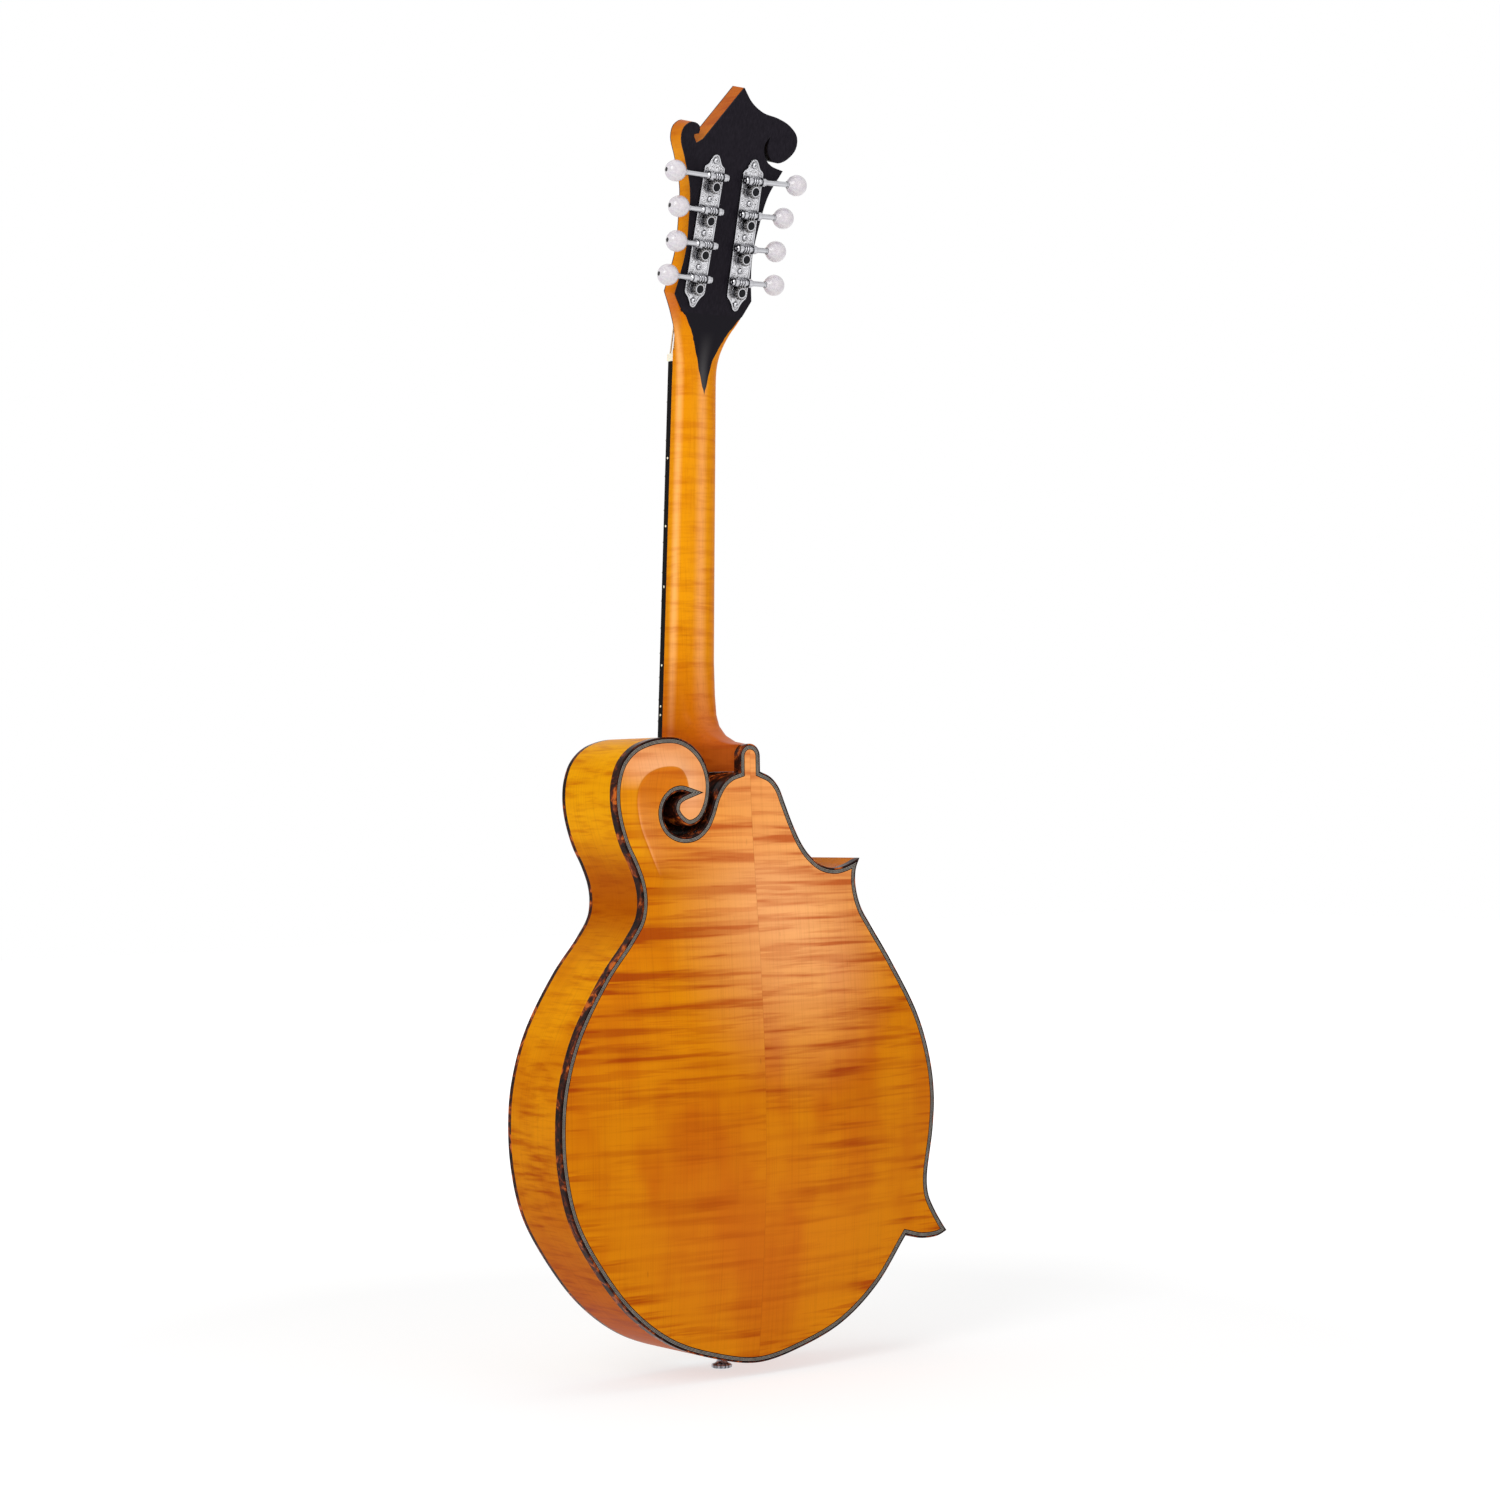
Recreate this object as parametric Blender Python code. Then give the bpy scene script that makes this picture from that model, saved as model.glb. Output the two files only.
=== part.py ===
"""An octave mandolin of the scroll-bodied kind, left-handed form.

Carved back and top on bent ribs, a scroll beside the neck, two points on the other side, a raised
fingerboard, and a headstock with two strips of open worm-and-gear tuners.

Frame: +Z runs up the neck, +Y is the back, -Y the strings' side, +X the scroll's side. The origin is
the middle of the strap button's end face, on the button's axis. Every value below is in millimetres,
scaled by MM at the end.
"""
import math

import bmesh
import bpy
import numpy as np
from mathutils import Matrix, Vector
from mathutils.geometry import delaunay_2d_cdt, intersect_line_line_2d, tessellate_polygon

MM = 0.001
GAP = 0.3

# Body
AXIS_TO_BACK = 43.3
RIM_DEPTH = 64.0
RIB_THICKNESS = 2.5
BACK_EDGE = 6.2
TOP_EDGE = 4.0
BOUND_WIDTH = 4.0
PLATE_THICKNESS = 4.2
BACK_ARCH = 12.1
TOP_ARCH = 14.0
ARCH_POWER = 1.1
ARCH_CELL = 4.0
PLATE_CELL = 20.0
BODY_BOTTOM = 9.0
BODY_CORNER = (-172.0, 4.0)
BODY_SPAN = (342.0, 432.0)
NECK_JOINT = 405.8
BUTTON_RADIUS = 8.6
BUTTON_CENTRE = 416.1

# Neck and strings
SCALE = 495.0
NUT = Vector((0.0, -22.1, 689.0))
NECK_PITCH = math.radians(3.4)
NUT_WIDTH = 33.5
BOARD_WIDENING = 0.0222
BOARD_THICKNESS = 5.5
BOARD_END = 345.0
FRETS = 20
FRET_WIDTH = 1.8
FRET_HEIGHT = 1.0
TENON_HALF_WIDTH = 8.0
TENON_LENGTH = 13.0
TENON_BACK = 18.0
SOUND_HOLE = (0.0, 306.0)
SOUND_HOLE_RADII = (27.0, 18.0)

# Headstock: distances up it are from the highest gear, depths are from that gear's own face
HEAD_PITCH = math.radians(16.2)
HEAD_ORIGIN = Vector((0.0, 37.5, 799.6))
HEAD_BACK = 6.9
OVERLAY = 1.2
HEADPLATE = 2.0
HEAD_FRONT = 21.1

# Tuners
POST_SPACING = 23.0
POSTS_PER_SIDE = 4
ROW_TOP = 16.4
ROW_SPREAD = math.radians(1.05)
POST_RADIUS = 3.0
POST_WAIST = 2.3
POST_END = 35.0
GEAR_TEETH = 14
GEAR_RADIUS = 4.75
GEAR_ROOT = 3.85
GEAR_THICKNESS = 2.6
WORM_RISE = 7.0
WORM_DEPTH = 1.4
WORM_RADIUS = 2.85
WORM_ROOT = 2.0
WORM_LEAD = 2 * math.pi * 4.35 / GEAR_TEETH
WORM_TURNS = 3
SHAFT_RADIUS = 1.9
CAP_RADIUS = 2.5
LUG_INNER = 4.6
LUG_OUTER = 6.9
PLATE_FACE = 5.4
PLATE_BACK = 6.6
PLATE_HALF_WIDTH = 8.2
SCREW_PLACES = (17.2, -8.6, -31.6, -54.6, -77.6)
KNOB_REACH = (34.3, 27.1, 24.5, 27.0)
KNOB_HALF_LENGTH = 7.6
KNOB_RADIUS = 7.3
KNOB_FLATTENING = 0.93

# Bridge
BRIDGE_Z = 192.6
BRIDGE_HALF_LENGTH = 72.0
BRIDGE_HALF_WIDTH = 6.0
STRING_DEPTH_AT_BRIDGE = 99.8
BRIDGE_POST_X = 26.0
WHEEL_RADIUS = 5.6
WHEEL_THICKNESS = 1.8
WHEEL_DEPTH = 88.2
SADDLE_TRAVEL = 1.4

# The half outline of the lower bout, from the tail up to the waist, x then z
LOWER_BOUT = [(0, BODY_BOTTOM), (37, 15.6), (72, 28.6), (102.5, 51), (127, 80.5), (146.5, 114),
              (154.6, 147), (156, 178), (153, 203), (142.5, 235), (119.5, 272.8), (100, 296.3)]
WAIST_AND_SCROLL = [(91.2, 309.7), (89.3, 320.6), (90.7, 331.6), (95.5, 344), (102.7, 358),
                    (108.3, 376), (109.8, 389), (108.6, 401), (103.8, 413), (94, 422.4), (82, 427.2),
                    (70, 429), (57.7, 428.2), (46.6, 423), (37.7, 413.4), (33.5, 402), (33.3, 391.8),
                    (36.1, 381.5), (42, 373.3), (51, 370.2), (59, 374.8), (62.4, 381), (60.8, 387),
                    (56.5, 390.3), (52, 392)]
CHANNEL_WALL = [(52, 392), (55.5, 393.8), (60, 395), (65.5, 394), (72, 388.5), (75, 381), (73.8, 371.8),
                (68.3, 364.4), (59.5, 360), (50.2, 359.4), (42, 362), (35, 368.4), (30.4, 376.8),
                (26.6, 388), (20.7, 397.3), (14.8, 402.4), (BUTTON_RADIUS, NECK_JOINT)]
SHOULDER = [(-BUTTON_RADIUS, NECK_JOINT), (-17.4, 402), (-24, 395.2), (-29.3, 383.6), (-35.4, 370),
            (-42.8, 356.5), (-49.5, 348.5), (-59.7, 341.4), (-71, 339.1), (-81.4, 341), (-92.9, 345.7)]
POINT_SIDE = [(-92.9, 345.7), (-89.7, 338.6), (-88.8, 330.4), (-90.2, 320.7), (-94, 310.5),
              (-101.7, 299), (-119.5, 273.5), (-142.5, 235), (-153, 203), (-156, 178), (-154.2, 154),
              (-151.2, 138), (-148.8, 125.3), (-148.4, 116), (-149.8, 108), (-154.8, 98),
              (-161.9, 87.2), (-165.4, 82.6)]
LOWER_POINT = [(-165.4, 82.6), (-157.2, 79.5), (-142, 79.2), (-128.5, 82.4)]
CREST = [(49.7, 390), (53.3, 402), (62, 408.6), (79, 408), (90.3, 401.5), (95.2, 390.5), (93.2, 371.4),
         (85.6, 353), (78, 335.7)]
CREST_HEIGHT = 4.5
CREST_WIDTH = 21.0
CREST_EDGE = 13.0
CREST_START = 48.0
CREST_FADE = 14.0

# The headstock's outline, x then distance up it, from the nut's scroll side round to the other side
HEAD_SCROLL_EDGE = [(17, -119), (18.4, -104), (25, -88), (32.4, -74.5)]
HEAD_SCROLL_SIDE = [(32.4, -74.5), (30, -60), (28.3, -44.6), (29.7, -22.7), (32.4, -3.2), (40, 16),
                    (45.5, 28.6), (44.6, 36.5), (38.7, 40.8), (32.6, 38.8), (32.2, 33.8), (36, 32.6),
                    (33, 27)]
HEAD_DIAGONAL = [(33, 27), (27.8, 30.6), (0.6, 67.6)]
HEAD_CURL = [(0.6, 67.6), (-7.4, 58.8), (-18, 53), (-30.5, 50.7), (-41, 47), (-49, 40), (-49.5, 31.6),
             (-43.3, 23.8), (-36, 20.6), (-30.8, 22), (-27, 26.8), (-25.9, 32), (-26.8, 37.8)]
HEAD_SLOT = [(-26.8, 37.8), (-23.4, 33), (-23.2, 27.6), (-26, 22), (-31, 18.4), (-41.4, 15.9)]
HEAD_POINT_SIDE = [(-41.4, 15.9), (-32.4, -2), (-28.6, -22), (-26.8, -44.4), (-28.6, -60),
                   (-31.6, -74.5)]
HEAD_POINT_EDGE = [(-31.6, -74.5), (-25, -88), (-18.4, -104), (-17, -119)]

HEAD_FOOT = -86.0
HEAD_FOOT_CORNERS = [Vector((-26.0, HEAD_FOOT)), Vector((26.1, HEAD_FOOT))]
# Slices of the flare between neck and headstock: distance up it, half width, squareness
THROAT = [(-119.0, 16.4, 2.6), (-111.0, 17.4, 4.5), (-104.0, 18.4, 6.0), (-95.0, 21.9, 10.0),
          (-87.0, 25.5, 20.0), (-80.0, 28.6, 40.0)]

MAPLE = (0.60, 0.24, 0.03)
SPRUCE = (0.72, 0.42, 0.14)
TORTOISE = (0.09, 0.03, 0.01)
EBONY = (0.015, 0.013, 0.013)
BONE = (0.85, 0.80, 0.68)
PEARL = (0.86, 0.82, 0.86)
CHROME = (0.80, 0.80, 0.82)
STEEL = (0.62, 0.62, 0.64)
BRONZE = (0.62, 0.36, 0.16)


def frame_matrix(origin, pitch):
    """A frame with x across, y up a face that leans back by pitch, and z out of its front."""
    up = Vector((0.0, math.sin(pitch), math.cos(pitch)))
    across = Vector((1.0, 0.0, 0.0))
    matrix = Matrix((across, up, across.cross(up))).transposed().to_4x4()
    matrix.translation = origin
    return matrix


BODY = frame_matrix(Vector((0.0, AXIS_TO_BACK, 0.0)), 0.0)
NECK = frame_matrix(NUT, NECK_PITCH)
HEAD = frame_matrix(HEAD_ORIGIN, HEAD_PITCH)


def clear_scene():
    for item in list(bpy.data.objects):
        bpy.data.objects.remove(item, do_unlink=True)


def material(name, colour, roughness, metallic=0.0):
    finish = bpy.data.materials.new(name)
    finish.use_nodes = True
    shader = finish.node_tree.nodes["Principled BSDF"]
    shader.inputs["Base Color"].default_value = (*colour, 1.0)
    shader.inputs["Roughness"].default_value = roughness
    shader.inputs["Metallic"].default_value = metallic
    return finish


def make_object(name, bm, finish, matrix=None, sharp_angle=35.0):
    """Write a bmesh in millimetres as an object in metres, at its own place and turn."""
    bmesh.ops.recalc_face_normals(bm, faces=bm.faces)
    bmesh.ops.scale(bm, vec=(MM, MM, MM), verts=bm.verts)
    mesh = bpy.data.meshes.new(name)
    bm.to_mesh(mesh)
    bm.free()
    mesh.shade_smooth()
    mesh.set_sharp_from_angle(angle=math.radians(sharp_angle))
    item = bpy.data.objects.new(name, mesh)
    bpy.context.scene.collection.objects.link(item)
    if matrix is not None:
        place = matrix.copy()
        place.translation = matrix.translation * MM
        item.matrix_world = place
    mesh.materials.append(material(name, *finish))
    return item


def boolean(base, others, operation):
    """Join or cut base with other solids and keep only the result."""
    for other in others:
        modifier = base.modifiers.new(other.name, "BOOLEAN")
        modifier.operation = operation
        modifier.object = other
    bpy.context.view_layer.update()
    result = bpy.data.meshes.new_from_object(base.evaluated_get(bpy.context.evaluated_depsgraph_get()))
    base.modifiers.clear()
    base.data = result
    result.shade_smooth()
    result.set_sharp_from_angle(angle=math.radians(35.0))
    for other in others:
        bpy.data.objects.remove(other, do_unlink=True)
    return base


def smooth_run(points, step):
    """Points about a step apart on a centripetal spline through the named points."""
    named = [Vector(point) for point in points]
    ghosts = [2 * named[0] - named[1]] + named + [2 * named[-1] - named[-2]]
    run = [named[0]]
    for a, b, c, d in zip(ghosts, ghosts[1:], ghosts[2:], ghosts[3:]):
        knots = [0.0]
        for start, end in ((a, b), (b, c), (c, d)):
            knots.append(knots[-1] + math.sqrt((end - start).length))
        t0, t1, t2, t3 = knots
        pieces = max(1, round((c - b).length / step))
        for k in range(1, pieces + 1):
            t = t1 + (t2 - t1) * k / pieces
            ab = a.lerp(b, (t - t0) / (t1 - t0))
            bc = b.lerp(c, (t - t1) / (t2 - t1))
            cd = c.lerp(d, (t - t2) / (t3 - t2))
            abc = ab.lerp(bc, (t - t0) / (t2 - t0))
            bcd = bc.lerp(cd, (t - t1) / (t3 - t1))
            run.append(abc.lerp(bcd, (t - t1) / (t2 - t1)))
    return run


def body_runs(step=19.0):
    """The body's outline as smooth runs between its corners, anticlockwise seen from the front."""
    mirrored = [(-x, z) for x, z in LOWER_BOUT[3:0:-1]]
    tail = [LOWER_POINT[-1]] + mirrored + LOWER_BOUT + WAIST_AND_SCROLL
    return [smooth_run(LOWER_POINT, step), smooth_run(tail, step), smooth_run(CHANNEL_WALL, step),
            smooth_run(SHOULDER, step), smooth_run(POINT_SIDE, step)]


def button_run(pieces=8):
    """The round tab of the back that caps the neck's heel."""
    turns = [math.pi * k / pieces for k in range(pieces + 1)]
    arc = [(BUTTON_RADIUS * math.cos(a), BUTTON_CENTRE + BUTTON_RADIUS * math.sin(a)) for a in turns]
    return [Vector(p) for p in [(BUTTON_RADIUS, NECK_JOINT)] + arc + [(-BUTTON_RADIUS, NECK_JOINT)]]


def offset_run(run, distance):
    """A run moved to its left, which is into the solid."""
    moved = []
    for k, point in enumerate(run):
        along = (run[min(k + 1, len(run) - 1)] - run[max(k - 1, 0)]).normalized()
        moved.append(point + distance * Vector((-along.y, along.x)))
    return moved


def line_meeting(a, b, c, d):
    """Where the endless lines a-b and c-d meet."""
    first, second = b - a, d - c
    cross = first.x * second.y - first.y * second.x
    if abs(cross) < 1e-6:
        return (b + c) / 2
    return a + first * (((c - a).x * second.y - (c - a).y * second.x) / cross)


def trim_corner(before, after):
    """Cut two moved runs where they cross, or extend them until they meet."""
    for i in range(len(before) - 1, 0, -1):
        for j in range(len(after) - 1):
            meeting = intersect_line_line_2d(before[i - 1], before[i], after[j], after[j + 1])
            if meeting is not None:
                return before[:i] + [meeting], [meeting] + after[j + 1:]
    corner = line_meeting(before[-2], before[-1], after[0], after[1])
    return before + [corner], [corner] + after


def inset(runs, distance, closed=True):
    """The outline moved inwards by distance, as one list of points."""
    moved = [offset_run(run, distance) for run in runs]
    for k in range(len(moved) if closed else len(moved) - 1):
        after = (k + 1) % len(moved)
        moved[k], moved[after] = trim_corner(moved[k], moved[after])
    points = []
    for run in moved:
        points += [p for p in run if not points or (p - points[-1]).length > 0.4]
    if closed and (points[0] - points[-1]).length < 0.4:
        points.pop()
    if not closed:
        points[0] = cut_beside_neck(points[0], points[1])
        points[-1] = cut_beside_neck(points[-1], points[-2])
    return points


def cut_beside_neck(end, before):
    """Slide an open run's end along its own line to where the neck's joint begins."""
    target = math.copysign(BUTTON_RADIUS, before.x)
    return end.lerp(before, (target - end.x) / (before.x - end.x))


def prism(loops, low, high):
    """A straight solid between two depths, with a flat cap at each; loops after the first are holes."""
    bm = bmesh.new()
    rings = []
    for loop in loops:
        rings.append([[bm.verts.new((p[0], p[1], depth)) for p in loop] for depth in (low, high)])
    for lower, upper in rings:
        for k in range(len(lower)):
            n = (k + 1) % len(lower)
            bm.faces.new((lower[k], lower[n], upper[n], upper[k]))
    flat = [[Vector((p[0], p[1], 0.0)) for p in loop] for loop in loops]
    triangles = tessellate_polygon(flat)
    for level in (0, 1):
        corners = [vertex for ring in rings for vertex in ring[level]]
        for triangle in triangles:
            bm.faces.new([corners[k] for k in triangle])
    return bm


def circle(centre, radius, sides, start=0.0):
    return [(centre[0] + radius * math.cos(start + 2 * math.pi * k / sides),
             centre[1] + radius * math.sin(start + 2 * math.pi * k / sides)) for k in range(sides)]


def lathe(profile, sides, flat=1.0):
    """A solid turned about x from (x, radius) points; a radius of zero closes an end."""
    bm = bmesh.new()
    rings = []
    for x, radius in profile:
        if radius == 0.0:
            rings.append([bm.verts.new((x, 0.0, 0.0))])
        else:
            around = circle((0, 0), radius, sides)
            rings.append([bm.verts.new((x, y, z * flat)) for y, z in around])
    for before, after in zip(rings, rings[1:]):
        for k in range(sides):
            n = (k + 1) % sides
            corners = [before[k % len(before)], before[n % len(before)],
                       after[n % len(after)], after[k % len(after)]]
            bm.faces.new(list(dict.fromkeys(corners)))
    return bm


def tube(points, radius, sides=4):
    """A closed tube of a few sides along a path."""
    bm = bmesh.new()
    rings = []
    side = Vector((1.0, 0.0, 0.0))
    for k, point in enumerate(points):
        along = (points[min(k + 1, len(points) - 1)] - points[max(k - 1, 0)]).normalized()
        side = (side - along * side.dot(along)).normalized()
        other = along.cross(side)
        around = circle((0, 0), radius, sides)
        rings.append([bm.verts.new(point + side * c + other * s) for c, s in around])
    for before, after in zip(rings, rings[1:]):
        for k in range(sides):
            n = (k + 1) % sides
            bm.faces.new((before[k], before[n], after[n], after[k]))
    bm.faces.new(rings[0])
    bm.faces.new(rings[-1])
    return bm


def loft(sections, closed_ends=True):
    """A skin over sections that have the same number of points."""
    bm = bmesh.new()
    rings = [[bm.verts.new(point) for point in section] for section in sections]
    for before, after in zip(rings, rings[1:]):
        for k in range(len(before)):
            n = (k + 1) % len(before)
            bm.faces.new((before[k], before[n], after[n], after[k]))
    if closed_ends:
        bm.faces.new(rings[0])
        bm.faces.new(rings[-1])
    return bm


def moved(bm, matrix):
    bmesh.ops.transform(bm, matrix=matrix, verts=bm.verts)
    return bm


def inside(loop, xs, zs):
    """Which of many points lie inside a loop."""
    hit = np.zeros(np.shape(xs), dtype=bool)
    for a, b in zip(loop, loop[1:] + loop[:1]):
        crosses = (a[1] > zs) != (b[1] > zs)
        reach = (b[0] - a[0]) * (zs - a[1]) / ((b[1] - a[1]) or 1e-9) + a[0]
        hit ^= crosses & (xs < reach)
    return hit


def distance_to_path(path, xs, zs, closed=False):
    """The distance from many points to a path of straight pieces."""
    nearest = np.full(np.shape(xs), 1e9)
    ends = path[1:] + path[:1] if closed else path[1:]
    for a, b in zip(path, ends):
        dx, dz = b[0] - a[0], b[1] - a[1]
        share = np.clip(((xs - a[0]) * dx + (zs - a[1]) * dz) / max(dx * dx + dz * dz, 1e-9), 0.0, 1.0)
        nearest = np.minimum(nearest, np.hypot(xs - a[0] - share * dx, zs - a[1] - share * dz))
    return nearest


def smoothstep(value):
    t = np.clip(value, 0.0, 1.0)
    return t * t * (3.0 - 2.0 * t)


class Arching:
    """The carved height over a plate: a membrane's bulge inside the outline, plus the scroll's crest."""

    def __init__(self, loop, rounds=2500):
        self.loop = loop
        self.low = BODY_CORNER
        columns, rows = int(BODY_SPAN[0] / ARCH_CELL), int(BODY_SPAN[1] / ARCH_CELL)
        xs, zs = np.meshgrid(self.low[0] + ARCH_CELL * np.arange(columns),
                             self.low[1] + ARCH_CELL * np.arange(rows))
        wood = inside(loop, xs, zs)
        bulge = np.zeros(xs.shape)
        for _ in range(rounds):
            around = sum(np.roll(bulge, step, axis) for step in (1, -1) for axis in (0, 1))
            bulge = np.where(wood, (around + 1.0) / 4.0, 0.0)
        self.bulge = bulge / bulge.max()
        self.crest = smooth_run(CREST, 6.0)

    def height(self, x, z, arch):
        """The carved height of one or many points above the plate's edge, for a given arch."""
        x, z = np.asarray(x, dtype=float), np.asarray(z, dtype=float)
        across = np.clip((x - self.low[0]) / ARCH_CELL, 0, self.bulge.shape[1] - 1.001)
        up = np.clip((z - self.low[1]) / ARCH_CELL, 0, self.bulge.shape[0] - 1.001)
        i, j = across.astype(int), up.astype(int)
        u, v = across - i, up - j
        bulge = ((1 - v) * ((1 - u) * self.bulge[j, i] + u * self.bulge[j, i + 1])
                 + v * ((1 - u) * self.bulge[j + 1, i] + u * self.bulge[j + 1, i + 1]))
        edge = smoothstep(distance_to_path(self.loop, x, z, closed=True) / CREST_EDGE)
        ridge = np.clip(1.0 - distance_to_path(self.crest, x, z) / CREST_WIDTH, 0.0, 1.0) ** 1.6
        fade = smoothstep((x - CREST_START) / CREST_FADE)
        return arch * bulge ** ARCH_POWER + CREST_HEIGHT * ridge * fade * np.sqrt(edge)


def carved_plate(name, loop, arching, front, arch, edge_thickness, finish, hole=None):
    """A plate with a carved outer face, a hollowed inner face and straight edges."""
    face = RIM_DEPTH if front else 0.0
    out = 1.0 if front else -1.0
    xs, zs = [], []
    row_height = PLATE_CELL * math.sqrt(3) / 2
    for row in range(int(BODY_SPAN[1] / row_height)):
        for column in range(int(BODY_SPAN[0] / PLATE_CELL)):
            xs.append(BODY_CORNER[0] + PLATE_CELL * (column + 0.5 * (row % 2)))
            zs.append(BODY_CORNER[1] + row_height * (row + 0.3))
    xs, zs = np.array(xs), np.array(zs)
    keep = inside(loop, xs, zs) & (distance_to_path(loop, xs, zs, closed=True) > 6.5)
    keep &= distance_to_path(arching.crest, xs, zs) > 5.0
    if hole:
        keep &= ~inside(hole, xs, zs) & (distance_to_path(hole, xs, zs, closed=True) > 5.0)
    crest = [p for p in arching.crest if distance_to_path(loop, p.x, p.y, closed=True) > 3.0]
    loops = [loop] + ([hole] if hole else [])
    points, edges = [], []
    for ring in loops:
        first = len(points)
        points += [Vector((p[0], p[1])) for p in ring]
        edges += [(first + k, first + (k + 1) % len(ring)) for k in range(len(ring))]
    first = len(points)
    points += crest
    edges += [(first + k, first + k + 1) for k in range(len(crest) - 1)]
    points += [Vector((x, z)) for x, z in zip(xs[keep], zs[keep])]
    flat, _, triangles, _, _, _ = delaunay_2d_cdt(points, edges, [], 0, 1e-4)
    px, pz = np.array([p.x for p in flat]), np.array([p.y for p in flat])
    height = arching.height(px, pz, arch)
    on_edge = distance_to_path(loop, px, pz, closed=True) < 0.05
    height[on_edge] = 0.0
    depth = np.where(on_edge, edge_thickness, PLATE_THICKNESS)
    bm = bmesh.new()
    outer = [bm.verts.new((x, z, face + out * h)) for x, z, h in zip(px, pz, height)]
    inner = [bm.verts.new((x, z, face + out * (h - d))) for x, z, h, d in zip(px, pz, height, depth)]
    for triangle in triangles:
        cx, cz = px[list(triangle)].mean(), pz[list(triangle)].mean()
        if inside(loop, cx, cz) and not (hole and inside(hole, cx, cz)):
            bm.faces.new([outer[k] for k in triangle])
            bm.faces.new([inner[k] for k in triangle])
    twin = dict(zip(outer, inner))
    for edge in [e for e in bm.edges if e.is_boundary and e.verts[0] in twin and e.verts[1] in twin]:
        a, b = edge.verts
        bm.faces.new((a, b, twin[b], twin[a]))
    bmesh.ops.delete(bm, geom=[v for v in bm.verts if not v.link_faces], context="VERTS")
    return make_object(name, moved(bm, BODY), finish)


def band(runs, outer, inner, closed):
    """The flat loops of a strip that follows the outline between two distances in from it."""
    if closed:
        return [inset(runs, outer), inset(runs, inner)]
    return [inset(runs, outer, closed=False) + inset(runs, inner, closed=False)[::-1]]


def body_frame_prism(name, loops, low, high, finish):
    return make_object(name, moved(prism(loops, low, high), BODY), finish)


def make_body(runs):
    """Plates, ribs, bindings, linings and blocks."""
    with_button = runs[:3] + [button_run()] + runs[3:]
    open_ribs = [runs[3], runs[4], runs[0], runs[1], runs[2]]
    maple, spruce, tortoise = (MAPLE, 0.3), (SPRUCE, 0.35), (TORTOISE, 0.2)

    neck_gap = [Vector((BUTTON_RADIUS, NECK_JOINT)), Vector((-BUTTON_RADIUS, NECK_JOINT))]
    top_runs = runs[:3] + [neck_gap] + runs[3:]
    back_wood = inset(with_button, BOUND_WIDTH + GAP)
    top_wood = inset(top_runs, BOUND_WIDTH + GAP)
    hole = [(SOUND_HOLE[0] + SOUND_HOLE_RADII[0] * x, SOUND_HOLE[1] + SOUND_HOLE_RADII[1] * z)
            for x, z in circle((0, 0), 1.0, 20)]
    arching = Arching(top_wood)
    carved_plate("back_plate", back_wood, arching, False, BACK_ARCH, BACK_EDGE, maple)
    carved_plate("top_plate", top_wood, arching, True, TOP_ARCH, TOP_EDGE, spruce, hole)

    body_frame_prism("binding_back", band(with_button, 0.0, BOUND_WIDTH, True), 0.0, BACK_EDGE, tortoise)
    body_frame_prism("binding_top", band(top_runs, 0.0, BOUND_WIDTH, True), RIM_DEPTH - TOP_EDGE,
                     RIM_DEPTH, tortoise)
    rib_low, rib_high = BACK_EDGE + GAP, RIM_DEPTH - TOP_EDGE - GAP
    body_frame_prism("ribs", band(open_ribs, 0.0, RIB_THICKNESS, False), rib_low, rib_high, maple)
    make_blocks_and_linings(runs, rib_low, rib_high)
    make_brace(arching)
    return arching


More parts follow.
